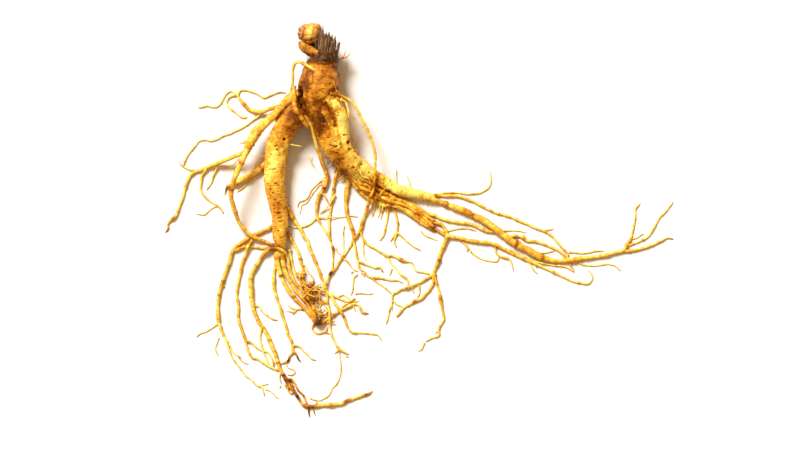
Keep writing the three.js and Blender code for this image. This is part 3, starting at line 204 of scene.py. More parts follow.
leftBundleRoots = [
  # roots that run together from the foot of the left leg to the knot
  [[-84, -12, 2.4, 0], [-85.2, -17, 2], [-86, -22, 1.9], [-85.5, -27, 1.8], [-84.5, -31],
   [-83, -35, 1.7], [-81, -39], [-78.5, -42.5, 1.6], [-75.5, -46], [-72.5, -49, 1.5], [-70, -51.5],
   [-67, -55, 1.4], [-64.5, -58], [-62, -61, 1.4]],
  [[-83.5, -12, 1.9, 1], [-83, -16.5, 1.7, 0.6], [-82, -25, 1.6, 0], [-81, -30], [-79.5, -34, 1.5],
   [-77, -38], [-74.5, -42], [-72, -45, 1.4], [-69, -48.5], [-66.5, -52], [-64, -56, 1.3],
   [-61.5, -60.5]],
  # arched root over the foot
  [[-89, -16.5, 1.1, 1.8], [-86.5, -16.2, 1.1, 3.4], [-84, -16.7, 1.1, 4.2],
   [-81.5, -18.5, 1.1, 3], [-79.8, -21.5, 1.1, 1.2], [-79, -25, 1.1, 0.4], [-78.6, -29, 1.1, 0],
   [-77, -33], [-74.8, -37], [-72.3, -40.5], [-69.5, -44], [-66.5, -48], [-64, -52], [-62.5, -57]],
  [[-78.5, -17, 0.8, 0.6], [-76.8, -26, 0.7, 0], [-75, -32], [-72, -37], [-69, -41], [-66, -45],
   [-63.5, -50]],
  [[-80.5, -6, 1.2, 2], [-78.5, -9, 1.1, 1.2], [-76.8, -12, 1, 0.3], [-75, -15, 1, 0], [-73, -19],
   [-72, -23], [-71, -27], [-70, -31, 0.9], [-70.5, -35], [-69, -39], [-66, -42, 0.8],
   [-62, -42.3], [-57, -43.6]],
  # long root from the inside of the left leg
  [[-80.5, 7.5, 2, 2], [-78, 5, 1.8, 1.4], [-76, 1, 1.5, 0.5], [-73.5, -2.5, 1.3, 0],
   [-71.5, -5.5], [-70, -9, 1.2], [-68, -11.5], [-66.5, -16], [-64.5, -20.5], [-62.5, -25.5],
   [-60.5, -30, 1.1], [-59.3, -34], [-57.5, -37], [-56.5, -41], [-56, -44.5, 1]],
]

knotRoots = [
  # the dark knot, and what leaves it
  [[-64, -58.5, 1.6, 0.4], [-61.3, -61, 2, 0.4], [-58.6, -61, 1.7, 0.2], [-57, -59.6, 1.2, 0]],
  [[-62, -60.5, 0.8, 0], [-64.8, -64, 0.6], [-63, -67], [-61, -67.7], [-56.5, -67],
   [-54.2, -68, 0.6]],
  [[-58, -61, 1, 0], [-54.5, -58, 0.9], [-52, -56.3, 1.1], [-50, -55, 0.9], [-48, -54],
   [-45, -52.8], [-42.5, -51.3], [-40, -50, 0.8], [-37.5, -50.3], [-36, -52], [-35.3, -54.5],
   [-33, -55.3], [-31, -55.5, 0.6]],
  [[-56, -42.5, 1, 0], [-53, -46], [-51.5, -49], [-50, -51.5], [-48.3, -54], [-46.5, -56.5, 0.9],
   [-45, -59.5], [-44, -62.5, 0.8], [-42.8, -65.5], [-40.5, -67, 0.7], [-38, -68.3, 0.7]],
  [[-41, -66.9, 0.55, 0], [-36, -67.3, 0.5], [-28, -68], [-25.5, -68.5], [-23, -72, 0.4]],
  [[-56, -43.5, 0.8, 0], [-55.5, -50, 0.65], [-54.5, -54], [-54.3, -58], [-54, -63],
   [-53.5, -67, 0.7], [-52, -71], [-50.5, -74], [-49, -76], [-47.8, -77.2, 1], [-45, -79, 0.6],
   [-42.5, -80.5, 0.4]],
  [[-48, -77, 0.6, 0], [-51.3, -79.7, 0.4]],
  [[-55.5, -43.2, 0.8, 0], [-50, -46, 0.7], [-47, -47.3], [-44, -48.3], [-41.5, -48],
   [-39, -46.5, 0.8]],
]

middleRoots = [
  # root that drops from the underside of the right leg
  [[-41, 30, 2.4, 0.6], [-42.5, 25, 1.9, 0], [-43.5, 21, 1.7], [-44, 16, 1.5], [-44.5, 11, 1.3],
   [-44.2, 6], [-43, 1, 1.25], [-41.5, -3], [-40, -8, 1.1], [-39.7, -12, 1], [-39, -17, 0.9],
   [-38, -21], [-37, -25, 0.8], [-36, -28.5], [-34, -30, 0.7], [-32, -32.5], [-29.5, -34],
   [-26, -34, 0.8], [-23, -34.3, 0.6], [-18, -35.5, 0.5], [-13, -36], [-10, -37.5, 0.4]],
  [[-29, -34, 0.6, 0], [-25.5, -37, 0.5], [-22, -39.5], [-19.5, -41.3], [-17, -44, 0.4]],
  [[-39.8, -11, 0.7, 0], [-43.5, -17.5, 0.6], [-46.5, -21.5, 0.9], [-48.5, -24.5, 0.8],
   [-50.5, -28], [-52.8, -30.5], [-55, -33.5, 0.8]],
  # arched root from the shoulder of the body, over the right leg and down to the right
  [[-54, 76, 1, 21.2], [-49, 75.5, 1, 17.4], [-46, 74, 1.2, 14.6], [-43.5, 73, 1.1, 13.6],
   [-41, 71.5, 1.1, 13], [-39, 69, 1, 12.8], [-37, 65.5, 1, 12.6], [-35, 61.5, 1, 12.4],
   [-32.5, 56.5, 1, 12.2], [-30.5, 51.5, 1, 12], [-28.5, 46.5, 1, 11.6], [-27.3, 41.5, 1, 11],
   [-26.8, 37, 1, 10.4], [-26.9, 32, 1, 9.8], [-27, 27, 1, 8.8], [-27.5, 23, 1.05, 7.4],
   [-28.5, 18, 1.1, 5.2], [-30, 13.5, 1.15, 3], [-31.3, 9, 1.2, 1.4], [-33, 4, 1.2, 0.2],
   [-34.5, -1, 1.2, 0], [-35.3, -7, 0.9], [-34.5, -9.5, 0.8], [-33, -12], [-31, -14.2],
   [-28, -16.2], [-25, -18], [-22, -19.7], [-20, -21], [-17.5, -20.7, 0.7], [-14.5, -21.5],
   [-11, -23, 1.2], [-8.5, -24, 0.7], [-6.5, -24.3, 0.55], [-4.5, -25.5], [-2, -30], [1.5, -30.6],
   [4, -31.3], [8.3, -32.4, 0.5]],
  [[-34.8, -3, 0.9, 0], [-37, -7.5], [-39.7, -11.5]],
  [[-19.5, -20.8, 0.7, 0], [-17, -26, 0.55], [-14, -28.5], [-12.5, -31], [-10.5, -32.5, 0.8],
   [-8, -34.5, 0.9], [-7, -36.5, 0.6], [-6.5, -39], [-3.2, -43.5, 0.45]],
  [[-37, -24, 0.7, 0], [-33, -26, 0.6], [-30, -27], [-27, -28.2], [-24, -28, 0.7],
   [-22.3, -30.8, 0.8]],
  # root on the shoulder, over the finger root
  [[-47.5, 72.5, 1, 18.4], [-44.7, 71, 0.9, 17.4], [-43.5, 67.5, 0.9, 17],
   [-42.8, 63.5, 0.9, 16.8], [-43, 60.5, 0.9, 16.4]],
]

rightBundleRoots = [
  [[-41, 33, 1.6, 8.5], [-36, 28.5, 1.5, 7], [-31.5, 24, 1.5, 5.2], [-26.5, 20, 1.4, 3.8],
   [-21, 17, 1.3, 2.6], [-15, 14.6, 1.2, 1.6], [-9, 12, 1.1, 0.6]],
  [[-38.5, 33.5, 1.4, 9.4], [-33.5, 29.5, 1.4, 8], [-28.5, 25.5, 1.3, 6.2], [-23, 21.5, 1.3, 4.6],
   [-17.5, 18, 1.2, 3], [-12, 15.5, 1.1, 1.8]],
  [[-44, 31.5, 1.6, 5], [-40, 25.5, 1.5, 3.6], [-35.5, 20, 1.4, 2.6], [-30.5, 16.4, 1.4, 2.2],
   [-25, 13.6, 1.2, 1.6], [-19.5, 11, 1.1, 0.8], [-13, 9.6, 1, 0.2]],
  # strands that the lower half of the right leg divides into
  [[-40, 33, 2.6, 5.4], [-34.5, 27.5, 2.2, 4.2], [-29.5, 22.6, 2, 2.8], [-24.5, 18.2, 1.8, 1.4],
   [-19, 14.6, 1.6, 0.8], [-14, 13.4, 1.5, 0.4]],
  [[-42.5, 29, 2.6, 1.5], [-38.5, 21.5, 2.1, 0.6], [-34, 16, 1.8, 0.2], [-29.5, 12.6, 1.5, 0],
   [-25, 10.2, 1.2], [-20.5, 8.8, 1]],
  [[-38, 29, 3, 2.4], [-34, 24, 2.4, 1.8], [-30, 18.5, 2.2, 1], [-27, 15.5, 2, 0.4],
   [-23, 13.8, 1.8, 0], [-19, 12.5], [-14, 13.5, 1.7], [-11, 13.4, 1.5], [-8, 11.5, 1.3],
   [-4, 9.5], [0, 7.5, 1.2], [3, 5.5], [6, 3.8, 1.1], [9, 3], [12, 1.5, 1], [17, 0], [22, -0.8],
   [27, -1.3], [31, -2], [34, -3.5], [37, -5, 1.1], [41, -6], [46, -6.6]],
  [[-28, 14, 1.5, 2.8], [-24, 14.5, 1.3, 2.6], [-20, 13, 1.2, 2.2], [-15, 10.6, 1.3, 0.8],
   [-12, 8.8, 1.3, 0], [-8, 7], [-4, 4.5], [0, 2], [3, 0.5, 1.2], [7, -0.5], [10, -1.2],
   [13, -2, 1.3], [15.3, -5, 1.35], [16.3, -8], [15.5, -12, 1.3], [13.5, -16], [12, -20, 1.2],
   [11.3, -23.5, 1.3], [9.8, -27, 1.1], [8.6, -30], [8.2, -32.5, 1]],
  [[-30, 14.5, 1.4, 0], [-24, 10.5, 1.2], [-20, 9], [-16, 9.3], [-12, 7.6], [-8, 5.2], [-4, 2.8],
   [-1, 1.4]],
  [[-4, 2.6, 1.2, 0], [-1, 1.4, 1.3], [3, -0.9], [8, -4, 1.2], [12, -6.6], [15.8, -8.8]],
  # thin root along the top of the right side
  [[5, 14.6, 1.4, 0.4], [8, 15.5, 1, 0.4], [12, 15.2, 1, 0], [16, 15], [20, 15, 0.9], [24, 14.6],
   [28, 13.2], [32, 12], [36, 9.8], [41, 7.3, 0.8], [46, 5], [53, 3], [60, 0], [65, -2],
   [70, -4.5], [75, -6.3], [79, -9], [82, -12], [85, -15.5], [88, -18.5], [89.5, -21.5, 0.9]],
  [[8, 15.6, 0.6, 1.2], [13, 16.6, 0.5, 0.4], [20, 16.8, 0.5, 0], [31, 16.5], [35, 16.8], [38, 18],
   [41, 20], [42.3, 22.5], [42.6, 25], [42.2, 29.5, 0.45]],
  [[-5.2, 17, 0.9, 3], [-5.8, 21, 0.5, 1], [-6.8, 24.5, 0.45, 0], [-7.7, 27, 0.4]],
  # rootlets that hang under the bundle
  [[-17, 9, 1, 0], [-15, 5, 0.8], [-14, 2], [-13.3, -1.5], [-13.6, -5, 0.7], [-13.8, -7.5, 0.7]],
  [[-13.8, -7, 0.6, 0], [-16, -9.4, 0.5], [-17.8, -12.5, 0.4]],
  [[-13.8, -7.4, 0.55, 0], [-15.3, -12, 0.5], [-14, -16.3, 0.4]],
  [[-13.7, -6.8, 0.6, 0], [-10.5, -10, 0.5], [-5, -14.5], [0.5, -17.8, 0.4]],
  [[-19.5, 8.5, 0.8, 0], [-19.3, 4, 0.6], [-20.5, -2], [-21.5, -7.5], [-24.3, -12, 0.45]],
]

rightRoots = [
  # the long root of the right side, out to the far right tip
  [[3, 14.3, 2, 0], [8, 12.6, 1.7], [12, 11.5, 1.7], [17, 9.5, 1.8], [22, 7.8, 1.9], [27, 6, 2],
   [32, 3.5, 2.1], [37, 1, 2.2], [41, -1.5, 2.4], [45, -4.7, 2.7], [48, -7, 2.4], [52, -10, 2.3],
   [56, -12.7, 2.5], [60, -14.8, 2.4], [65, -17.5, 2.3], [70, -20.5, 2.2], [75, -22.5, 1.9],
   [80, -23.8, 1.6], [85, -24, 1.5], [90, -23.5, 1.6], [95, -22.8], [100, -22.3, 1.4],
   [105, -21.6, 1.3], [110, -20.8, 1.2], [115, -19.7, 1.1], [120, -18.5], [125, -18, 1],
   [130, -17.3, 0.9], [135, -16, 0.8], [140, -14.3], [145, -12, 0.7], [148.5, -10.2, 0.5],
   [152.4, -10.8, 0.4]],
  # root that leaves the elbow and runs below it
  [[15.8, -8.8, 1.3, 0], [22, -10, 1.2], [27, -11], [32, -11.8], [37, -12.5], [42, -13.5],
   [46, -14.8], [50, -16.5, 1.1], [55, -18.9], [60, -21.4], [65, -23.7, 1], [70, -25.8],
   [75, -27.9, 0.8], [80, -30.3], [85, -32.8, 0.7], [90, -35.2], [97, -37], [101, -37.5, 0.5],
   [103, -35.8], [103.5, -33], [101, -29, 0.4]],
  [[53, -10, 1.1, 0.6], [57, -9, 0.95, 0.2], [60, -9.2, 0.9, 0], [62.5, -10.6, 1.2],
   [65, -11.8, 0.9], [69, -12], [73, -13.3], [76, -14.3], [79, -15.5, 0.8], [82, -17], [84, -18.5],
   [86, -20.5], [88, -23]],
  [[62.4, -10.8, 0.9, 0.2], [62.6, -8, 0.6, 0.2]],
  [[45.5, -14.5, 0.7, 0], [45.8, -18.5], [48, -21, 0.8], [51, -22], [53.5, -22.8],
   [55, -25.5, 0.5], [56.3, -30, 0.4]],
  [[88, -20, 0.7, 0], [90.4, -26, 0.7], [92, -28.5, 0.6], [92.7, -31, 0.5]],
  [[22, -10.3, 0.7, 0], [26, -13, 0.6], [28, -15], [28.7, -18.7, 0.45]],
  # forked tips
  [[122, -18.2, 1, 0], [124, -15, 1], [126.5, -11, 0.9], [127.5, -7.5, 0.6], [128, -4.5],
   [129.5, 2, 0.5], [129.7, 7.5], [132.5, 10.5, 0.4]],
  [[124, -15, 0.7, 0], [128, -14, 0.6], [132, -12.3], [137, -9.3], [140.5, -4.5],
   [144.5, 2.5, 0.5], [148, 6], [152.4, 11.6, 0.4]],
]

lowerRightRoots = [
  [[8.2, -32, 1, 0], [5, -34, 0.8], [2, -36], [0, -37.2, 0.7], [-3, -38.3], [-6.5, -39.7],
   [-9, -40.5], [-11.5, -41], [-14, -43], [-16.5, -44.2], [-16.5, -47, 0.6], [-17, -50],
   [-18.5, -54, 0.5], [-19.5, -58.5], [-20.3, -62, 0.4]],
  [[8.2, -32, 1, 0], [8, -36, 0.9], [7, -39], [5.5, -41.5], [3.5, -44], [2, -46.3, 0.8],
   [-0.5, -47.5], [-3.5, -48.2, 1], [-6, -50, 0.7], [-10, -52.3], [-12.5, -56], [-14, -57.5, 0.9]],
  [[8.4, -31.5, 1, 0], [9.5, -37, 0.9], [10.5, -40, 0.8], [12, -43], [12.2, -46, 1.3],
   [12.5, -49, 1.1], [13, -52, 0.8], [13.7, -55.5], [14, -59], [13, -61.5, 0.7], [11.8, -63.5],
   [11.3, -66], [11.5, -68.5, 0.6], [6.5, -70.5, 0.5], [3.5, -72.5, 0.5]],
]

# Hair roots: x, y, radius, lift, filled in like the lying roots.
hairRoots = [
  [[-16, 14.2, 1.3, 2], [-12, 12.4], [-8, 10.6, 1.3, 1.6], [-4, 8.2], [0, 5.4, 1.2, 1.2], [4, 2.6],
   [7, 0.8, 1.1, 1], [10, -0.4, 0.9, 0.8]],
  [[-18, 11.5, 1.2, 1.4], [-12, 10.8], [-7, 8.6, 1.2, 1], [-3, 6], [0.5, 3.4, 1.1, 0.8], [4, 0.4],
   [7, -2.6], [10, -4.8, 0.9, 0.6]],
  [[-20, 9.5, 1.1, 1], [-14, 8.6], [-9, 6.4, 1.1, 0.6], [-5, 3.8], [-1.5, 0.6, 1, 0.2], [2, -2],
   [6, -4.4], [10, -6.4, 0.8, 0]],
  [[-41.5, 27.5, 1.2, 4.6], [-37, 22.4, 1.2, 4], [-32, 18.6, 1.1, 3.6], [-27, 16.8, 1.1, 3],
   [-22, 13.6, 1, 2.2]],
  [[-40, 26, 0.6, 4], [-36.8, 23.6, 0.6, 5], [-35, 19.5, 0.6, 5], [-31.6, 18.8, 0.5, 5],
   [-28, 15.6, 0.5, 4.4]],
  [[-46.5, 38, 1, 11], [-43.4, 33.4, 1, 9.6], [-40.6, 28.2, 1, 7], [-37, 24.6, 0.9, 5.6],
   [-33.4, 20.8, 0.9, 4.6]],
  [[-33, 22, 0.5, 7], [-30.6, 20.6, 0.5, 7.4], [-29.8, 18.2, 0.45, 6.4], [-26.4, 17.2, 0.4, 5.6],
   [-24.8, 15, 0.4, 4.4]],
  [[-36, 30, 0.6, 10], [-34.4, 26.6, 0.6, 9.4], [-31, 25.4, 0.5, 8.6], [-29.4, 22, 0.5, 7.2],
   [-25.6, 20.4, 0.45, 6]],
  [[-136, 30.5, 0.45, 0], [-139, 31], [-141.5, 32], [-143.5, 33.5], [-145, 35.5, 0.35]],
  [[-122.5, 9, 0.3, 0], [-125, 7.5], [-127.5, 6], [-129.5, 4], [-134.5, 4.2]],
  [[-108.3, 37.5, 0.5, 8.4], [-110.5, 35.5, 0.5, 5.4], [-113, 33.5, 0.5, 2], [-115, 33, 0.5, 0.4],
   [-117, 33], [-120.5, 33.8, 0.35]],
  [[-103, 48, 0.6, 10.6], [-105.5, 47.5, 0.4, 10.2]],
  [[-103.2, 47, 0.6, 10], [-108, 46.5, 0.4, 8.8]],
  [[-98.5, 27, 0.45, 0.4], [-101, 24, 0.45, 0], [-106, 20.5], [-110, 17.3, 0.35]],
  [[-116.5, 19.5, 0.4, 0.2], [-117.4, 15.5, 0.3, 0]],
  [[-76, 67, 1, 15], [-80, 63.6, 0.9, 14.4], [-84, 60, 0.9, 12.4], [-88, 55, 0.7, 9]],
  [[-79, 46, 0.5, 11], [-75, 45.5, 0.4, 10.4], [-71.5, 44.8], [-70, 44.3, 0.35]],
  [[-66.5, 41, 0.3, 3], [-67, 38.5], [-65.5, 35.5], [-63.5, 32.5]],
  [[-114.8, -74, 0.4, 0], [-112.5, -78.8], [-110.5, -80.5], [-109.3, -81, 0.7],
   [-107.5, -83.5, 0.35], [-105, -85.5], [-103, -86]],
  [[-121.8, -62, 0.35, 0], [-124, -63.5], [-126.8, -65.2], [-129, -66.5], [-131.5, -67.3],
   [-134.5, -70, 0.3]],
  [[-121, -70, 0.35, 0], [-122, -73.5], [-123, -76], [-122.3, -79], [-121, -81.3, 0.3]],
  [[-95, -98.5, 0.3, 0], [-91, -98]],
  [[-93, -101, 0.3, 0], [-89, -103], [-86.5, -106], [-84.5, -107]],
  [[-114, -21, 0.8, 0.4], [-112.9, -20.4, 0.5]],
  [[-115.3, -25.5, 0.8, 0.4], [-113.8, -25.3, 0.5]],
  [[-116.4, -29.5, 0.8, 0.4], [-114.6, -29.3, 0.5]],
  [[-118.8, -39, 0.8, 0.4], [-117.4, -39.2, 0.5]],
  [[-84.3, -92, 0.4, 0], [-84, -96], [-83, -98]],
  [[-81, -98.5, 0.5, 0], [-79, -102], [-77.5, -103.7], [-75, -103.5, 0.4]],
  [[-83.7, -99, 0.35, 0], [-84.5, -101]],
  [[-62.4, -111, 0.8, 0.4], [-62, -108.6, 0.7, 0.2]],
  [[-64.5, -112, 0.45, 0], [-63.8, -114.5], [-63, -117, 0.35]],
  [[-66, -106.5, 0.35, 0], [-63, -107.5], [-60, -107.8], [-57.5, -106.5], [-55, -105],
   [-53.2, -102.5], [-52.5, -100.5], [-50, -98], [-48.7, -95], [-47.8, -91], [-47.5, -86],
   [-48, -81], [-48.3, -79]],
  [[-80.3, -86, 0.35, 0], [-79.7, -88], [-78, -88.7], [-75.8, -89.7], [-75.2, -91], [-76.5, -92.5],
   [-79.5, -92.7, 0.3]],
  [[-70, -26, 0.5, 0], [-68, -29], [-66.5, -31.5], [-64.5, -34], [-63.7, -37], [-64, -39.5, 0.4]],
  [[-71, -38, 0.5, 0.6], [-68, -40, 0.5, 2.2], [-65, -42, 0.5, 2.4], [-62, -42, 0.5, 1.6],
   [-59, -43.5, 0.5, 1.4], [-56, -44, 0.5, 1]],
  [[-65, -45, 0.5, 1], [-63, -47], [-61.5, -49.5, 0.4, 0]],
  [[-70.5, -53, 0.45, 0], [-73.5, -53], [-75.5, -55], [-76.5, -56.5, 0.35]],
  [[-74, -53.3, 0.4, 0], [-78, -52], [-79.5, -50.5, 0.3]],
  [[-76, -54.8, 0.4, 0], [-80, -54.2, 0.3]],
  [[-67.5, -44, 0.5, 3], [-64, -45.5, 0.5, 3.2], [-62, -48.5, 0.5, 2], [-62.5, -52, 0.45, 1]],
  [[-70, -46, 0.5, 1], [-67.5, -43.2, 0.5, 2.6], [-64.5, -40, 0.5, 1.6], [-61, -38.6, 0.5, 1],
   [-58.6, -37.6, 0.4]],
  [[-61, -44.6, 0.6, 1], [-59, -48, 0.5, 0.4], [-60.5, -52, 0.5, 0], [-59, -56.5], [-60, -60]],
  [[-58, -40, 0.5, 1.4], [-60.4, -43, 0.5, 1.4], [-60, -47.5, 0.45, 0.6], [-63.5, -50.5, 0.5, 2]],
  [[-56.5, -66.5, 0.45, 0], [-55.3, -63.5, 0.35]],
  [[-40, -50.5, 0.45, 0], [-39.5, -53], [-38.5, -54.8, 0.35]],
  [[-60, -57, 0.5, 0], [-57, -56], [-54.5, -54.5, 0.4]],
  [[-48, -77.5, 0.4, 0], [-48.7, -80.5, 0.3]],
  [[-44.5, -81, 0.4, 0], [-42.8, -82.3, 0.3]],
  [[-49, -45.3, 0.4, 0], [-46, -44.5], [-43.5, -46], [-42, -47.2, 0.3]],
  [[-47, -51.8, 0.4, 0], [-44.5, -50], [-41.5, -48.5], [-38, -48.3], [-36.5, -48, 0.3]],
  [[-39, -43.7, 0.3, 0], [-35, -43.5], [-31, -43.8], [-28, -43.7]],
  [[-45.5, -3, 0.35, 0], [-46.2, -7], [-46, -12], [-46, -16], [-45.8, -20]],
  [[-46, -22.5, 0.4, 0], [-44, -24.5], [-42, -26.5], [-40, -29.3, 0.3]],
  [[-50.5, -16, 0.4, 0], [-49.8, -18.5], [-47.5, -20.5, 0.3]],
  [[-55.3, 3.5, 0.5, 0], [-55.2, 0], [-54.3, -4, 0.4]],
  [[-58, 16.5, 0.5, 1.6], [-56.5, 13.5, 0.5, 1], [-54.5, 10.5, 0.45, 1.4]],
  [[-51, 16, 0.5, 0.4], [-52.5, 13, 0.5, 1.6], [-54.5, 10, 0.5, 1.8], [-57, 7, 0.45, 0.4],
   [-60.5, 4.5, 0.4, 0.6]],
  [[-56, 27, 0.4, 2.4], [-59, 25, 0.35, 0.6], [-62, 22, 0.35, 0], [-65, 19], [-67, 15],
   [-69.5, 12.5], [-72.5, 11.5], [-73.5, 8, 0.3]],
  [[-56.5, 24.5, 0.4, 2], [-60, 22, 0.3, 0.4], [-63, 18.5, 0.3, 0], [-65.5, 14.5], [-68, 11],
   [-71, 9.5], [-72, 4]],
  [[-62, 2, 0.4, 0.6], [-55, 2.3, 0.35, 0.4], [-48, 2.2, 0.35, 0], [-42, 2.8], [-37, 2.5, 0.3]],
  [[-35.5, -31, 0.4, 0], [-34, -32.5], [-33, -34.2, 0.3]],
  [[-45, -23, 0.4, 0], [-42.5, -25.5], [-41.5, -27.5], [-39.5, -29.5], [-37, -30.5, 0.35]],
  [[-41.5, -31.2, 0.4, 0], [-40, -30.5]],
  [[-37.5, -32, 0.4, 0], [-39.5, -34], [-40.3, -38], [-40.5, -41], [-41.5, -45, 0.3]],
  [[-17, -28.5, 0.4, 0], [-18.2, -33, 0.3]],
  [[-34, -12, 0.4, 0], [-34, -17], [-33.5, -21], [-32.5, -24, 0.3]],
  [[-24, 10, 0.5, 1.4], [-24.4, 5, 0.4, 0], [-25, 2, 0.35]],
  [[-22, 9.5, 0.5, 1.4], [-23, 4, 0.4, 0], [-23.5, 1, 0.35]],
  [[-27, 11, 0.5, 1.4], [-27.8, 6, 0.4, 0], [-28, 3, 0.35]],
  [[-29, 13, 0.5, 1.6], [-28.7, 6, 0.4, 0], [-28.5, 2, 0.35]],
  [[-46, 33, 0.8, 4], [-47.5, 29, 0.6, 2.6], [-49.5, 25.5, 0.4, 1.4]],
  [[-45, 32, 0.8, 4], [-45.8, 27.5, 0.6, 2.6], [-47, 23.5, 0.4, 1]],
  [[-48.5, 36, 0.7, 4], [-50.4, 32.5, 0.5, 3], [-51.6, 28.5, 0.4, 1.8]],
  [[-41, 63, 0.4, 12], [-37, 59.5, 0.35, 11], [-33.5, 56, 0.3, 10.6]],
  [[-27.5, 13, 0.5, 3.6], [-24, 16, 0.5, 3.8], [-21, 19.5, 0.45, 6]],
  [[-16, 22.5, 0.4, 4], [-14.5, 28, 0.35, 0.6], [-14, 31, 0.3, 0]],
  [[50, -5.7, 0.4, 0.4], [55, -5.7, 0.35, 0], [59.5, -5.8], [62, -6.5], [64.5, -7, 0.3]],
  [[69, -19, 0.5, 0.2], [75, -19, 0.45, 0], [78, -18.5], [81, -18, 0.35]],
  [[89.5, -18.5, 0.45, 0], [93, -19], [98, -19.3], [103, -19], [105, -18.3], [110.5, -18, 0.35]],
  [[95, -24.5, 0.5, 0], [98, -26], [103, -26.8, 0.4], [108, -26.5], [113, -25.8], [117, -26.5],
   [119.5, -29], [121, -30.2, 0.3]],
  [[65, -24, 0.5, 0], [67, -27.5], [69, -30.5, 0.4], [71, -32, 0.35]],
  [[69, -26.5, 0.4, 0], [71, -28.5, 0.35]],
  [[75, -5.5, 0.35, 0], [80.5, -4.8, 0.3]],
  [[14, -6.2, 0.5, 0.6], [17, -6, 0.45, 0], [22, -4.8], [28, -4.6], [34, -6, 0.35]],
  [[29, -16, 0.5, 0], [31, -19], [34, -21.3], [37, -23, 0.4], [41, -24], [46.5, -24], [47.5, -22],
   [48, -20.5, 0.35]],
  [[0.5, -6, 0.4, 0], [3, -8.8], [7, -10.5], [11, -12, 0.3]],
  [[54, -17.4, 0.7, 0.8], [62, -21.6, 0.6, 0.6], [70, -24.5, 0.6, 0.6], [80, -26.5, 0.55, 0],
   [88, -27.8], [91, -29.5], [92.5, -31, 0.45]],
  [[127, -10.6, 0.4, 0], [130.5, -10, 0.35], [132.5, -8.3], [135, -7.7, 0.3]],
  [[-16.3, -47.5, 0.4, 0], [-14.5, -50], [-12, -51], [-10, -52, 0.35]],
  [[-0.5, -38.5, 0.45, 0], [-0.5, -43], [-1.5, -46.5, 0.35]],
  [[-16.9, -50, 0.4, 0], [-16.6, -54, 0.3]],
  [[11.4, -65.5, 0.4, 0], [9, -67.8, 0.3]],
  [[2.5, -73, 0.45, 0], [1, -77], [-1, -78.3, 0.3]],
]

# Strands on the front of the main root, and the thin roots pressed into it.
strands = [
  [[-63, 67, 0.6, 20.8], [-63.5, 64, 0.55, 20.4], [-63.3, 60, 0.5, 18.8], [-62.5, 56.5, 0.5, 17.2],
   [-61.3, 52, 0.45, 15.4], [-60.7, 48.5, 0.4, 13.6]],
  [[-61.8, 67, 0.6, 21.2], [-62.2, 63.5, 0.5, 20.4], [-61.8, 59.5, 0.5, 19],
   [-61.6, 56, 0.5, 17.6], [-60.2, 51.5, 0.4, 16]],
  [[-51.5, 84, 0.6, 20.6], [-50.5, 80, 0.6, 20.4], [-49.5, 77, 0.55, 19.4], [-49, 75, 0.5, 18.6]],
]

# Short rootlets that grow thickly along a line: start and end of the line, lift at both, count,
# bearing, length.
tufts = [
  [(-56, 45), (-44, 28), 4.5, 3.2, 30, -105, 5.5],
  [(-51, 41), (-36, 22), 8, 5, 22, -60, 3.6],
  [(-34, 14), (-12, 8), 1.5, 0.8, 20, -100, 4.2],
  [(-44, 52), (-36, 36), 14, 10.5, 9, -70, 2.2],
  [(-67, -36), (-60, -58), 1.6, 1.6, 34, -30, 4],
  [(-74, -30), (-66, -46), 2.4, 2, 46, -30, 4.4],
  [(-60, -40), (-56, -62), 0.6, 0.4, 18, -20, 4.4],
  [(-82, -92), (-77, -101), 1, 1, 10, -50, 3],
  [(-88, -14), (-84, -19), 1.4, 2.4, 8, -100, 3],
]

rootShape = {
  "coreRadius": 1.5,         # a root at least this thick is part of the skin of the thick limbs
  "grain": 0.55,             # size of the faces of that skin
  "limbStep": 1.0,           # distance between the stations of a limb
  "step": 0.9,               # distance between the stations of a thin root
  "wander": 0.26,            # how far a thin root strays from its route
  "girth": 0.87,             # share of the rows' radius that a root has between its knots
  "thinnest": 0.22,          # smallest radius
  "knotEvery": 12.0,         # mean distance between the knots of a thin root
  "knotSpread": (0.35, 1.7), # share of that distance between two knots
  "knotReach": (0.35, 0.75),
  "knotDark": (0.2, 1),
  "knotSwell": (0.08, 0.3),  # share by which a knot is thicker
  "clearEnd": 2,             # length without knots at both ends
  "flare": 0.45,             # share by which a root widens where it leaves its parent
  "flareReach": 1.8,
  "tip": 0.45,               # share of the radius left at the tip
  "tipReach": 3.5,
  "sways": [(1.3, 7, 0), (0.6, 2.6, 91)],           # height, size, shift
  "girthWaves": [(0.13, 3.1, 37), (0.07, 1.3, 53)],
}

latticeSize = 64
lattice = np.random.default_rng(7).uniform(-1, 1, (latticeSize,) * 3)
latticeShift = 1000.0  # keeps every place on the positive side


def lumps(points, size):  # smooth values from -1 to 1 that change over `size`
  place = points / size + latticeShift
  cell = np.floor(place).astype(int)
  part = place - cell
  part = part * part * (3 - 2 * part)
  total = np.zeros(len(points))
  for corner in np.ndindex(2, 2, 2):
    share = np.prod(np.abs(1 - np.array(corner) - part), axis=1)
    total += share * lattice[tuple(((cell + corner) % latticeSize).T)]
  return total


def waver(along, size, row):  # the same on a line, different for each row
  one = np.ones(len(along))
  return lumps(np.column_stack([along, 3.7 * row * one, 11.3 * row * one]), size)


def rising(values, start, reach):  # 0 up to the start, 1 from `reach` past it
  return np.clip((values - start) / reach, 0, 1)


def falling(values, start, reach):  # the same for values that go down
  return np.clip((start - values) / reach, 0, 1)


def filledIn(rows):  # a row without a radius or a lift has those of the row before it
  full = [rows[0]]
  for row in rows[1:]:
    full.append([*row, *full[-1][len(row):]])
  return full


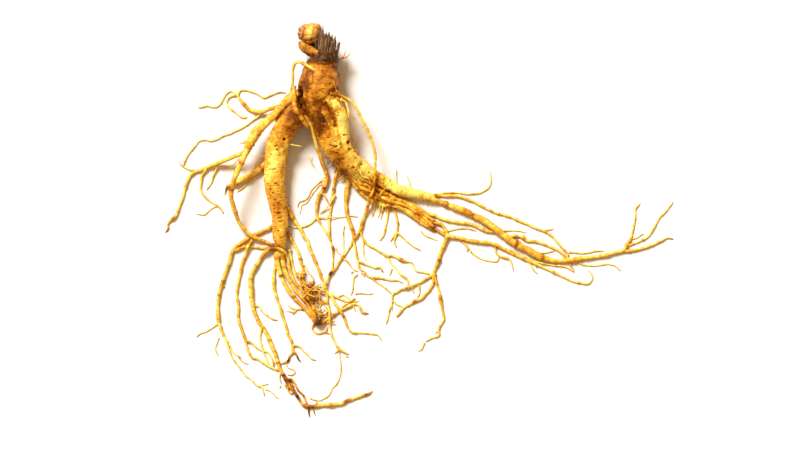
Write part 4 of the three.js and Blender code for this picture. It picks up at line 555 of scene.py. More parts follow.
def flowing(rows, step):  # a station every `step` on a smooth curve through the rows
  between, evenness, least = 24, 0.7, 0.02
  p = np.array(rows, float)
  gaps = np.linalg.norm(np.diff(p[:, :2], axis=0), axis=1)
  t = np.concatenate([[0], np.cumsum(gaps**evenness + least)])
  h = np.diff(t)[:, None]
  slope = np.diff(p, axis=0) / h
  inner = (slope[:-1] * h[1:] + slope[1:] * h[:-1]) / (h[1:] + h[:-1])
  m = np.vstack([slope[:1], inner, slope[-1:]])
  u = np.linspace(0, 1, between, endpoint=False)[:, None]
  parts = [
    (2 * u**3 - 3 * u**2 + 1) * p[i] + (u**3 - 2 * u**2 + u) * h[i] * m[i]
    + (3 * u**2 - 2 * u**3) * p[i + 1] + (u**3 - u**2) * h[i] * m[i + 1]
    for i in range(len(p) - 1)
  ]
  dense = np.vstack(parts + [p[-1:]])
  s = np.concatenate([[0], np.cumsum(np.linalg.norm(np.diff(dense[:, :3], axis=0), axis=1))])
  at = np.linspace(0, s[-1], max(4, round(s[-1] / step) + 1))
  return np.column_stack([np.interp(at, s, dense[:, k]) for k in range(p.shape[1])]), at


def directions(points):
  ahead = np.gradient(points, axis=0)
  return ahead / np.maximum(np.linalg.norm(ahead, axis=1)[:, None], 1e-6)


def limb(rows, tone):  # tone makes the limb's skin paler or browner than the rest
  stations, s = flowing(rows, rootShape["limbStep"])
  return {"p": stations[:, :3], "r": stations[:, 3], "s": s, "knot": np.zeros(len(s)), "tone": tone}


def waves(kind, s, index):
  return sum(height * waver(s, size, index + shift) for height, size, shift in rootShape[kind])


def lyingRoot(rows, index, flare=True):
  stations, s = flowing(filledIn(rows), rootShape["step"])
  rng = random.Random(1000 + index)
  length = s[-1]
  r, lift = np.maximum(rootShape["girth"] * stations[:, 2], rootShape["thinnest"]), stations[:, 3]
  free = np.clip(np.minimum(s, length - s) / 4, 0, 1)
  wander = rootShape["wander"] * np.clip(1.6 - 0.35 * r, 0.4, 1) * free
  side = directions(np.column_stack([stations[:, :2], 0 * s]))
  sway = wander * waves("sways", s, index)
  xy = stations[:, :2] + np.column_stack([-side[:, 1], side[:, 0]]) * sway[:, None]
  r = r * (1 + waves("girthWaves", s, index))
  knot = np.zeros(len(s))
  where = rng.uniform(rootShape["clearEnd"], rootShape["knotEvery"])
  while where < length - rootShape["clearEnd"]:
    swell = np.exp(-(((s - where) / rng.uniform(*rootShape["knotReach"])) ** 2))
    knot = np.maximum(knot, swell * rng.uniform(*rootShape["knotDark"]))
    r = r + swell * rng.uniform(*rootShape["knotSwell"]) * np.minimum(r, 1)
    where += rootShape["knotEvery"] * rng.uniform(*rootShape["knotSpread"])
  if flare:
    r = r * (1 + rootShape["flare"] * np.exp(-s / rootShape["flareReach"]))
  tip = rootShape["tip"]
  r = r * np.clip(tip + (length - s) / rootShape["tipReach"], tip, 1)
  return {"p": np.column_stack([xy, r + lift]), "r": r, "s": s, "knot": knot, "tone": 0.0}


def treeOf(points):
  tree = kdtree.KDTree(len(points))
  for i, place in enumerate(points):
    tree.insert(place, i)
  tree.balance()
  return tree


def draped(roots):  # where a root crosses one laid before it, it goes over it
  reach = 7.0        # how far beside a root another one is looked for
  sunk = 0.3         # a root lower than this share of the other passes below it
  climb = 1.35       # how soon a slanted crossing counts as a full one
  known, girth, heading = [], [], []
  for root in roots:
    p, r, s = root["p"], root["r"], root["s"]
    ahead = directions(p)
    need = np.zeros(len(s))
    if known:
      tree = treeOf([(q[0], q[1], 0) for q in known])
      for i in range(len(s)):
        free = min(1, max(0, (s[i] - 2.5) / 3)) * min(1, max(0, (s[-1] - s[i] - 1.5) / 2))
        if free <= 0:
          continue
        for _, j, gap in tree.find_range((p[i][0], p[i][1], 0), r[i] + reach):
          room = r[i] + girth[j]
          height = known[j][2]
          if gap >= room or p[i][2] <= height - sunk * girth[j]:
            continue
          cross = abs(ahead[i][0] * heading[j][1] - ahead[i][1] * heading[j][0])
          top = height + math.sqrt(room * room - gap * gap) * min(1, climb * cross)
          need[i] = max(need[i], free * (top - p[i][2]))
    if need.max() > 0:
      far = np.abs(s[:, None] - s[None, :])
      bend = 2.2 + 0.9 * need[None, :]
      p[:, 2] += np.max(need[None, :] * np.exp(-((far / bend) ** 2)), axis=1)
    known.extend(p.tolist())
    girth.extend(r.tolist())
    heading.extend(ahead.tolist())


def only(piece):
  bpy.ops.object.select_all(action="DESELECT")
  piece.select_set(True)
  bpy.context.view_layer.objects.active = piece


def facingOut(piece, weld=0.0):  # turns every face outwards, and joins points closer than `weld`
  only(piece)
  bpy.ops.object.mode_set(mode="EDIT")
  bpy.ops.mesh.select_all(action="SELECT")
  if weld:
    bpy.ops.mesh.remove_doubles(threshold=weld)
  bpy.ops.mesh.normals_make_consistent(inside=False)
  bpy.ops.object.mode_set(mode="OBJECT")


def tubes(roots, name, sides):  # curves with a radius at each point, turned into one mesh
  curve = bpy.data.curves.new(name, "CURVE")
  curve.dimensions = "3D"
  curve.bevel_depth = mm
  curve.bevel_resolution = sides
  curve.use_fill_caps = True
  for root in roots:
    count = len(root["s"])
    spline = curve.splines.new("POLY")
    spline.points.add(count - 1)
    flat = np.column_stack([root["p"] * mm, np.ones(count)]).ravel()
    spline.points.foreach_set("co", flat.tolist())
    spline.points.foreach_set("radius", root["r"].tolist())
  piece = bpy.data.objects.new(name, curve)
  bpy.context.scene.collection.objects.link(piece)
  only(piece)
  bpy.ops.object.convert(target="MESH")
  piece = bpy.context.view_layer.objects.active
  facingOut(piece, 0.01 * mm)
  return piece


def modified(piece, kind, **settings):  # adds a modifier and applies it
  only(piece)
  modifier = piece.modifiers.new(kind.title(), kind)
  for key, value in settings.items():
    setattr(modifier, key, value)
  bpy.ops.object.modifier_apply(modifier=modifier.name)


def places(piece):
  co = np.empty(len(piece.data.vertices) * 3, np.float32)
  piece.data.vertices.foreach_get("co", co)
  return co.reshape(-1, 3).astype(float) / mm


def normals(piece):
  n = np.empty(len(piece.data.vertices) * 3, np.float32)
  piece.data.vertex_normals.foreach_get("vector", n)
  return n.reshape(-1, 3).astype(float)


def put(piece, points):
  piece.data.vertices.foreach_set("co", (points * mm).astype(np.float32).ravel())
  piece.data.update()


def mark(piece, name, values):
  attribute = piece.data.attributes.get(name) or piece.data.attributes.new(name, "FLOAT", "POINT")
  attribute.data.foreach_set("value", np.asarray(values, np.float32))


def nearest(points, roots):  # the station whose skin each point lies on
  candidates = 9
  r = np.concatenate([k["r"] for k in roots])
  tree = treeOf(np.vstack([k["p"] for k in roots]))
  found = np.empty(len(points), int)
  for i, q in enumerate(points):
    found[i] = min(tree.find_n(q, candidates), key=lambda hit: hit[2] - r[hit[1]])[1]
  return found


tuftShape = {
  "spread": (1.6, 1.2),     # how far a rootlet may start from its line, along x and y
  "lift": (0.7, 1.1),       # share of the line's lift
  "turn": 55,               # degrees to either side of the line's bearing
  "length": (0.4, 1.3),     # share of the line's reach
  "radius": (0.3, 0.5),
  "bend": 0.7,              # radians at each of its three pieces
  "sink": 0.14,
  "taper": 0.18,
  "shake": 0.5,
}


def either(rng, most):
  return rng.uniform(-most, most)


def tuftOf(rng, start, end, lifts, bearing, reach):  # one short rootlet somewhere on a line
  shape = tuftShape
  (ax, ay), (bx, by), (liftA, liftB) = start, end, lifts
  t = rng.random()
  spreadX, spreadY = shape["spread"]
  x = ax + t * (bx - ax) + either(rng, spreadX)
  y = ay + t * (by - ay) + either(rng, spreadY)
  lift = (liftA + t * (liftB - liftA)) * rng.uniform(*shape["lift"])
  angle = math.radians(bearing + either(rng, shape["turn"]))
  stretch = reach * rng.uniform(*shape["length"])
  radius = rng.uniform(*shape["radius"])
  rows = [[x, y, radius, lift]]
  for k in (1, 2, 3):
    angle += either(rng, shape["bend"])
    x, y = x + stretch / 3 * math.cos(angle), y + stretch / 3 * math.sin(angle)
    height = lift * (1 - shape["sink"] * k) + either(rng, shape["shake"])
    rows.append([x, y, radius * (1 - shape["taper"] * k), max(0, height)])
  return rows


# Every root, smoothed, strayed and laid over the ones before it.
limbs = [
  limb(mainRoot, 0.02), limb(leftLeg, 0.04), limb(fingerRoot, -0.1), limb(leftArm, 0.0),
  limb(rightTrunk, -0.14), limb(leftLegLump, 0.1), limb(rhizomeArm, 0.3), limb(neckFill, 0.5),
]
routes = (
  leftBundleRoots + leftArmRoots + leftOuterRoots + crotchRoots + knotRoots + rightBundleRoots
  + rightRoots + middleRoots + lowerRightRoots + crownRoots
)
laid = [lyingRoot(rows, i) for i, rows in enumerate(routes)]
hairs = [lyingRoot(rows, 300 + i) for i, rows in enumerate(hairRoots)]
tuftRng = random.Random(21)
for start, end, liftA, liftB, count, bearing, reach in tufts:
  for _ in range(count):
    rows = tuftOf(tuftRng, start, end, (liftA, liftB), bearing, reach)
    hairs.append(lyingRoot(rows, 400 + len(hairs)))
pressed = [lyingRoot(rows, 500 + i, flare=False) for i, rows in enumerate(strands)]
draped(laid + hairs)
print("roots laid:", len(limbs), "limbs,", len(laid), "roots,", len(hairs), "hairs")

thick = [k for k in laid if np.mean(k["r"]) >= rootShape["coreRadius"]]
fine = [k for k in laid if np.mean(k["r"]) < rootShape["coreRadius"]] + hairs
core = tubes(limbs + thick + pressed, "rootSkin", 5)
modified(core, "REMESH", mode="VOXEL", voxel_size=rootShape["grain"] * mm, adaptivity=0)
modified(core, "SMOOTH", factor=0.5, iterations=5)
print("core remeshed:", len(core.data.polygons), "faces")

skinLook = {  # colours are sRGB, palest first; shares are 0 to 1
  "palest": (247, 230, 116),
  "pale": (238, 188, 64),
  "ripe": (206, 132, 28),
  "brown": (128, 68, 6),
  "bark": (64, 34, 4),
  "barkLight": (140, 80, 26),
  "barkDark": (30, 13, 3),
  # darkest colour, for the pits and for the painted shade deep in grooves
  "pitAndShade": (44, 18, 3),
  "roughness": 0.42,
  "shine": 0.17,      # strength of the reflection outside the pits
  "glow": 0.12,       # share of light that passes through the skin
  "blotch": (2.6, 0.75),  # size of the colour noise, and its share
  "speck": (0.8, 0.5),
  "linePitch": 1.55,  # distance between the thin crosswise lines
  "lineShare": 0.3,
  # Height and size of each kind of relief on the thick limbs.
  "swelling": (0.75, 9),
  "lump": (0.26, 3.6),
  "grain": (0.11, 1.7),
  "wrinkle": (0.2, 2.1),
  "ring": (0.22, 2.3),
  "lenticels": 260,          # how many crosswise scars
  "lenticelLength": (1.2, 3.8),
  "lenticelWidth": (0.5, 0.85),
  "lenticelDepth": (0.12, 0.34),
  "lenticelDark": (0.15, 0.65),
  "browningAndShade": {  # shares that make the skin browner, or paler where they are negative; most are the skin's own browning, but the side and hollow shares are painted shade
    "base": 0.3,
    # Share, where it starts and how far it takes to grow.
    "thick": (-0.05, 1, 4),    # by radius
    "thin": (-0.1, 2.4, 1.2),
    "hair": (-0.14, 0.95, 0.5),
    "side": (0.26, 0.6, 1),    # painted shade: browner skin where it faces sideways or down, away from the light
    # Share alone.
    "body": 0.3,               # upper part of the main root
    # painted shade: browner skin in hollows, where it lies sunk below the skin around it
    "hollowShade": 0.5,
    "knot": 0.38,
    "tip": 0.9,                # as a share of a knot, at the end of a thin root
    "patches": [(5, 11, 0.13), (9, 3.4, 0.12), (50, 1.5, 0.07)],  # shift, size, share
  },
  "collar": {  # the dark bark round the neck
    "low": 93.9, "left": -76, "right": -47, "thinnest": 1.6,
    "armLow": 98.5, "armRight": -61, "armShare": 0.8,
  },
}

# Pits and creases on the upper side: x, y, length, width, bearing in degrees, depth, darkness,
# which is the pits' own dark brown and painted shade in the creases.
pits = [
  [-80.8, 48.3, 1.8, 1.4, 0, 1.1, 1], [-90, 18.5, 3, 0.9, 40, 0.4, 0.9],
  [-92.5, 32.5, 2.4, 0.7, 90, 0.4, 0.8], [-86, 42, 1.6, 0.9, 20, 0.4, 0.8],
  [-87.5, 45, 2, 0.8, 10, 0.4, 0.8], [-91.5, 22, 1.6, 0.8, 0, 0.35, 0.8],
  [-86.3, 22, 1.8, 0.8, 0, 0.35, 0.7], [-88.5, 16.5, 2.2, 0.8, 15, 0.4, 0.8],
  [-87.5, 12, 2.2, 0.8, 0, 0.4, 0.8], [-88, 7, 2, 0.8, -10, 0.4, 0.8],
  [-85.5, 4.3, 2.2, 0.9, 0, 0.4, 0.9], [-84.6, 10, 2, 1, 0, 0.3, 0.7],
  [-82.5, 14, 1.6, 0.8, 20, 0.3, 0.7], [-84, -1, 2, 0.8, 0, 0.35, 0.8],
  [-85.6, -6, 1.8, 0.8, 0, 0.35, 0.8], [-58.5, 86.3, 1.6, 1, 0, 0.4, 0.8],
  [-56.5, 86.8, 1.2, 0.9, 0, 0.3, 0.8], [-53, 82, 1.8, 0.9, 10, 0.4, 0.8],
  [-51.5, 79, 1.4, 0.9, 0, 0.4, 0.8], [-64, 72.5, 2, 0.9, 0, 0.4, 0.8],
  [-58, 58.5, 2.2, 1.4, 20, 0.9, 1], [-58.5, 56, 1.8, 1.2, 0, 0.8, 1],
  [-59, 53.3, 1.6, 1.2, 0, 0.7, 1], [-67, 57.5, 1.8, 1.2, 60, 0.7, 1],
  [-42.5, 47.5, 2.6, 2.2, 30, 0.7, 0.9], [-45.3, 50.5, 1.5, 1, 0, 0.4, 0.8],
  [-47, 46.5, 1.8, 1, 20, 0.4, 0.8], [-49.5, 44, 1.8, 1, 0, 0.4, 0.8],
  [-50, 40, 2, 1, -20, 0.5, 0.9], [-42, 43, 1.6, 1.2, 0, 0.4, 0.8],
  [-54, 45, 2.4, 0.7, 10, 0.4, 0.8], [-52, 44, 2, 0.7, 0, 0.4, 0.8],
  [-51, 43.2, 1.6, 0.7, 0, 0.4, 0.8], [-38, 38, 1.6, 0.8, -40, 0.4, 0.8],
  [-34.5, 33.5, 1.8, 0.8, -40, 0.4, 0.8], [-45.5, 36.5, 2.2, 0.9, -30, 0.5, 0.8],
  [-39.5, 31.5, 1.8, 1, -40, 0.4, 0.9], [-30, 28.5, 1.4, 0.8, -40, 0.35, 0.8],
  [-61, 76, 2.6, 0.5, 0, 0.35, 0.6], [-57, 78.5, 3, 0.5, 0, 0.35, 0.6],
  [-60.5, 73.6, 3, 0.5, 0, 0.35, 0.6], [-57, 76, 2.6, 0.5, 0, 0.35, 0.6],
]
# Long grooves: width, depth, darkness (painted shade in the groove), and the points that each runs
# through.
grooves = [
  [3, 3.0, 1.0, [(-72.2, 82.5), (-72, 79), (-72, 75), (-72, 71), (-71.8, 68)]],
  [1.2, 0.8, 0.6, [(-52, 75.2), (-49.8, 73.6), (-47.4, 71.4), (-45.4, 69.4)]],
  [4, 1.2, 0.62, [(-62, 70.2), (-59.6, 69.4), (-57.4, 68.6), (-55, 68)]],
  [3, 0.9, 0.25, [(-56, 71.5), (-54.8, 68), (-53.6, 64), (-52.8, 60), (-52, 56)]],
  [2, 0.8, 0.16, [(-52, 56), (-51.4, 52), (-50.6, 47)]],
  [1.4, 0.6, 0.8, [(-66.5, 98.5), (-64.5, 95.6), (-60, 94.3), (-55, 94.2), (-51, 93.6)]],
  [0.9, 0.45, 0.7, [(-66.6, 93), (-67.6, 89), (-67.8, 85), (-67.4, 81)]],
  [0.7, 0.35, 0.6, [(-63.2, 92.5), (-64.6, 88), (-64.8, 83)]],
  [0.6, 0.3, 0.5, [(-57.6, 92), (-57.9, 88.5)]],
  [0.6, 0.3, 0.5, [(-53.2, 91.5), (-52, 87)]],
  [2, 0.7, 0.4, [(-69, 82), (-68.6, 78), (-68.4, 73), (-68, 69)]],
  [1.2, 0.6, 0.7, [(-63.6, 64), (-64.2, 60), (-62.8, 55.6)]],
  [1.6, 0.5, 0.1, [(-50.4, 62), (-50.4, 56), (-49.8, 50), (-48.6, 44.6)]],
]
# Painted shade in grooves and under the roots that lie on the skin: width, darkness, and the points
# that each runs through, seen from above.
shadeStreaks = [
  [0.9, 0.6, [(-71.4, 83), (-71.8, 80)]],
  [1.5, 1.0, [(-71.8, 80), (-71.9, 76), (-71.8, 72), (-71.6, 68)]],
  [1.6, 0.75, [(-71.4, 69.5), (-69.6, 66.8), (-67.2, 65)]],
  [1.8, 0.62, [(-63, 70), (-60, 69.2), (-57, 69), (-55.6, 67.6)]],
  [1.3, 0.62, [(-56.2, 70.4), (-54.4, 67), (-52.8, 63.6), (-51.6, 60), (-50.8, 57)]],
  [1.0, 0.5, [(-67, 62.5), (-65.2, 59), (-63.6, 55), (-62.4, 50.5)]],
  [0.9, 0.45, [(-61.2, 64), (-61, 60), (-59.8, 56), (-58.4, 52.6)]],
  [0.9, 0.35, [(-66.6, 93), (-67.6, 89), (-67.8, 85), (-67.4, 81)]],
  [0.8, 0.4, [(-50.6, 76.4), (-47.6, 75), (-45.2, 72)]],
  [1.4, 0.5, [(-27.5, 25.6), (-22.6, 20.6), (-17, 16.4), (-10.6, 13.2)]],
  [1.2, 0.45, [(-36.4, 29), (-32, 24.4), (-27.6, 20.4)]],
  [0.9, 0.5, [(-89.6, -16.4), (-86.6, -15.4), (-83.6, -15.6), (-81.4, -17.6)]],
  [0.9, 0.4, [(-80.4, -19), (-79.4, -24), (-78.4, -30), (-75.8, -35.5), (-72.6, -40)]],
  [0.7, 0.35, [(-83.4, -21), (-82.8, -27), (-81.2, -33), (-78.4, -38.6)]],
]
# Where the skin is browner or darker than elsewhere, partly its own brown and partly painted shade,
# as on the top of the left leg and at the lower end of the main root: x, y, reach, share.
brownAndShadedPlaces = [
  [0, 3.5, 5, 0.2], [9, -4.6, 4, 0.34], [-56.4, 66.5, 3, 0.42], [-54.8, 61, 3, 0.42],
  [-53.4, 56.5, 2.4, 0.3], [-51.5, 76, 3.6, 0.34], [-58, 61, 5.5, 0.4], [-59, 55, 4, 0.42],
  [-69, 80, 4, 0.34], [-77, 62, 6.5, 0.5], [-79, 56, 5, 0.4], [-42.5, 47.5, 3, 0.3],
  [-27, 22, 6, 0.3], [-46, 98.5, 3.5, 0.4], [-48, 40, 4.5, 0.3], [-57, 68, 4, 0.4],
  [-86, 8, 4.5, 0.22], [-88.6, -16, 2.6, 0.5], [-85, -15.6, 2, 0.34], [-50, 36, 5, 0.34],
  [-45, 30, 4, 0.34], [-61, -60.5, 4, 0.74], [-80.5, -96, 3.6, 0.56], [-74, -104.5, 5, 0.42],
  [-66.6, -114, 4, 0.5], [-73.4, -81.5, 3, 0.5], [-32, -104.4, 2.6, 0.42], [-82.5, -92.5, 1.5, 0.5],
  [-44.2, -108.3, 2, 0.55], [-79.3, -83.7, 1.6, 0.8], [-116.5, 19.5, 2.4, 0.55],
  [-79, -7.5, 2.6, 0.4], [-52.3, -16.5, 1.4, 0.7], [-54, -31.5, 1.4, 0.7], [-22.3, -31.3, 1.4, 0.7],
  [-148, 2, 1.4, 0.35], [11.3, -23.5, 1.6, 0.35], [62.5, -11, 1.6, 0.35], [12.2, -46, 1.6, 0.35],
  [-11, -23, 1.4, 0.35], [-3.5, -48.2, 1.4, 0.35], [-52, -56.3, 1.6, 0.35],
  [-46.5, -21.5, 1.4, 0.35], [-63, -47, 5.4, 0.42], [-66, -40, 4.4, 0.32], [-103, 46, 3, 0.2],
  [152, -10.5, 3, 0.4], [-153, -6, 3, 0.5],
]
palePlaces = [
  [-88.6, 38, 3.2, 0.3], [-88.6, 32, 3, 0.28], [-52.5, 71.5, 3, 0.3], [-47, 62, 3.4, 0.34],
  [-46, 55, 3.4, 0.34], [-45, 48, 3, 0.2], [-16, 20, 5, 0.2], [-5, 17, 5, 0.2], [-93, 58, 4, 0.2],
]


def carved(points, spots):  # slits, each with its centre, heading, length, width, depth, darkness
  depth, dark = np.zeros(len(points)), np.zeros(len(points))
  for centre, heading, length, width, deep, darkness in spots:
    away = points - centre
    near = np.where((np.abs(away) < 1.2 * length + 2 * width + 0.5).all(axis=1))[0]
    off = away[near]
    v = off @ heading
    square = np.maximum((off**2).sum(axis=1) - v**2, 0)
    body = np.exp(-square / (0.5 * width) ** 2 - (v / (0.5 * length)) ** 4)
    depth[near] = np.maximum(depth[near], deep * body)
    dark[near] = np.maximum(dark[near], darkness * body)
  return depth, dark


def placed(points, patches):  # soft round places, seen from above
  total = np.zeros(len(points))
  for x, y, reach, share in patches:
    away = (points[:, 0] - x) ** 2 + (points[:, 1] - y) ** 2
    total = np.maximum(total, share * np.exp(-away / reach**2))
  return total


def shadeAlong(points, streaks):  # painted shade in soft streaks along routes, seen from above
  total = np.zeros(len(points))
  for width, darkness, route in streaks:
    for (ax, ay), (bx, by) in zip(route, route[1:]):
      dx, dy = bx - ax, by - ay
      t = ((points[:, 0] - ax) * dx + (points[:, 1] - ay) * dy) / (dx * dx + dy * dy)
      t = np.clip(t, 0, 1)
      away = (points[:, 0] - ax - t * dx) ** 2 + (points[:, 1] - ay - t * dy) ** 2
      total = np.maximum(total, darkness * np.exp(-away / width**2))
  return total


def onTop(points, facing, x, y):  # the upper skin at a place
  candidates, farOff = 12, 50
  away = (points[:, 0] - x) ** 2 + (points[:, 1] - y) ** 2
  away += np.where(facing[:, 2] > 0.15, 0, farOff)
  close = np.argsort(away)[:candidates]
  return close[np.argmax(points[close, 2])]


def alongRoute(points, facing, route, step):  # the upper skin every `step`, and the heading there
  for (ax, ay), (bx, by) in zip(route, route[1:]):
    run = math.hypot(bx - ax, by - ay)
    count = max(1, round(run / step))
    for k in range(count):
      t = k / count
      i = onTop(points, facing, ax + t * (bx - ax), ay + t * (by - ay))
      yield points[i], np.array([bx - ax, by - ay, 0]) / run


def hollows(piece, points, facing, rounds):  # how far each point lies below the skin around it
  pairs = np.empty(len(piece.data.edges) * 2, np.int32)
  piece.data.edges.foreach_get("vertices", pairs)
  a, b = pairs.reshape(-1, 2).T
  total = len(points)
  count = np.bincount(a, minlength=total) + np.bincount(b, minlength=total)
  even = points.copy()
  for _ in range(rounds):
    even = np.column_stack([
      (np.bincount(a, even[b, k], total) + np.bincount(b, even[a, k], total)) / count
      for k in range(3)
    ])
  return ((even - points) * facing).sum(axis=1)


def stationValues(roots, key, at):  # what the stations hold, for each point's own station
  return np.concatenate([k[key] for k in roots])[at]


def scars(points, facing, ahead, girth):  # short crosswise slits, seeded over the skin
  rng = random.Random(5)
  shape = skinLook
  weight = np.where(girth > 2, 1.0, 0.25) * np.where(facing[:, 2] > -0.2, 1, 0.4)
  pick = np.random.default_rng(3)
  chosen = pick.choice(len(points), shape["lenticels"], p=weight / weight.sum(), replace=False)
  spots = []
  for i in chosen:
    across = np.cross(ahead[i], facing[i])
    length = rng.uniform(*shape["lenticelLength"]) * min(1, girth[i] / 5) + 0.5
    width = rng.uniform(*shape["lenticelWidth"])
    deep = rng.uniform(*shape["lenticelDepth"])
    spots.append((points[i], across, length, width, deep, rng.uniform(*shape["lenticelDark"])))
  for x, y, length, width, bearing, deep, darkness in pits:
    turn = math.radians(bearing)
    heading = np.array([math.cos(turn), math.sin(turn), 0])
    spots.append((points[onTop(points, facing, x, y)], heading, length, width, deep, darkness))
  step, slit = 0.8, 2.2  # a groove is a row of slits
  for width, deep, darkness, route in grooves:
    for centre, heading in alongRoute(points, facing, route, step):
      share, shadow = rng.uniform(0.8, 1), rng.uniform(0.75, 1)
      spots.append((centre, heading, slit, width, deep * share, darkness * shadow))
  return spots


def swellings(points, ahead, girth, along):  # height of the soft relief
  share = np.clip(girth / 8, 0.12, 1)
  full = np.minimum(1, 2 * share)
  height, size = skinLook["swelling"]
  swell = height * share * lumps(points, size)
  height, size = skinLook["lump"]
  swell += height * full * lumps(points, size)
  height, size = skinLook["grain"]
  swell += height * lumps(points, size)
  height, size = skinLook["wrinkle"]
  drawn = points - 0.65 * ahead * (points * ahead).sum(axis=1)[:, None]
  swell += height * full * lumps(drawn + 31, size)
  height, size = skinLook["ring"]
  ring = np.abs(np.sin(math.pi * (along + 0.8 * lumps(points, 5)) / size)) ** 0.5
  ringed = np.clip(lumps(points + 17, 8) + 0.45, 0, 1) * rising(girth, 1.2, 3)
  return swell + height * ringed * (ring - 0.7)


def skinRelief(piece, roots):  # shapes the skin, and says what each of its points is like
  points, facing = places(piece), normals(piece)
  at = nearest(points, roots)
  station = np.vstack([k["p"] for k in roots])[at]
  ahead = np.vstack([directions(k["p"]) for k in roots])[at]
  girth = stationValues(roots, "r", at)
  along = stationValues(roots, "s", at) + ((points - station) * ahead).sum(axis=1)
  tone = np.concatenate([np.full(len(k["s"]), k["tone"]) for k in roots])[at]
  depth, dark = carved(points, scars(points, facing, ahead, girth))
  # painted shade along grooves and under lying roots, broken up by noise
  patchy = np.clip(0.85 + 0.5 * lumps(points, 1.3) + 0.3 * lumps(points, 3), 0, 1.1)
  dark = np.maximum(dark, shadeAlong(points, shadeStreaks) * patchy)
  sunk = hollows(piece, points, facing, 26)
  low = rising(points[:, 2], 0, 1.2)  # the skin stays on the surface that it rests on
  moved = points + facing * (swellings(points, ahead, girth, along) * low - depth)[:, None]
  moved[:, 2] = np.maximum(moved[:, 2], 0)
  put(piece, moved)
  knot = stationValues(roots, "knot", at)
  return {"points": points, "facing": facing, "girth": girth, "along": along, "knot": knot,
          "dark": dark, "sunk": sunk, "tone": tone}


def tint(piece, points, facing, girth, along, knot, dark, sunk, tone):  # what the colour follows
  x, y = points[:, 0], points[:, 1]
  look, collar = skinLook["browningAndShade"], skinLook["collar"]
  body = rising(y, 38, 30) * rising(girth, 3, 4) * rising(x, -78, 8)
  # ripe is the skin's own browning together with painted shade in hollows and on skin that faces
  # away from the light
  ripe = look["base"] + tone + look["body"] * body + look["hollowShade"] * rising(sunk, -0.07, 0.7)
  share, start, reach = look["thick"]
  ripe += share * rising(girth, start, reach)
  # the side share paints shade on skin that faces sideways or down
  for kind, values in (("thin", girth), ("hair", girth), ("side", facing[:, 2])):
    share, start, reach = look[kind]
    ripe += share * falling(values, start, reach)
  for shift, size, share in look["patches"]:
    ripe += share * lumps(points + shift, size)
  # the brown places include painted shade as well as the skin's own brown
  ripe += placed(points, brownAndShadedPlaces) - placed(points, palePlaces) + look["knot"] * knot
  bark = rising(y - 0.5 * lumps(points, 3), collar["low"], 1) * (girth > collar["thinnest"])
  bark *= (x > collar["left"]) * (x < collar["right"])
  arm = rising(y, collar["armLow"], 2.5) * (x < collar["armRight"]) * (tone < 0.4)
  mark(piece, "ripe", ripe)
  mark(piece, "bark", bark * (1 - collar["armShare"] * arm))
  mark(piece, "girth", girth)
  mark(piece, "along", along)
  mark(piece, "dark", np.clip(dark, 0, 1))


tint(core, **skinRelief(core, limbs + thick))
print("skin carved")

roots = tubes(fine, "fineRoots", 2)
points, facing = places(roots), normals(roots)
at = nearest(points, fine)
girth = stationValues(fine, "r", at)
along = stationValues(fine, "s", at)
left = np.concatenate([k["s"][-1] - k["s"] for k in fine])[at]
knot = stationValues(fine, "knot", at)
rough = 0.09 * lumps(points, 0.9) + 0.1 * lumps(points, 2.4)
points += facing * (np.minimum(girth, 1.6) * rough)[:, None]
points[:, 2] = np.maximum(points[:, 2], 0)
put(roots, points)
knot = knot + skinLook["browningAndShade"]["tip"] * np.exp(-left / 2) * (girth < 0.9)
none = np.zeros(len(points))
tint(roots, points, facing, girth, along, knot, dark=none, sunk=none, tone=none)
print("fine roots:", len(roots.data.polygons), "faces")


def shade(colour):  # an sRGB colour as Blender's linear one
  linear = [c / 255 / 12.92 if c < 10 else ((c / 255 + 0.055) / 1.055) ** 2.4 for c in colour]
  return (*linear, 1)


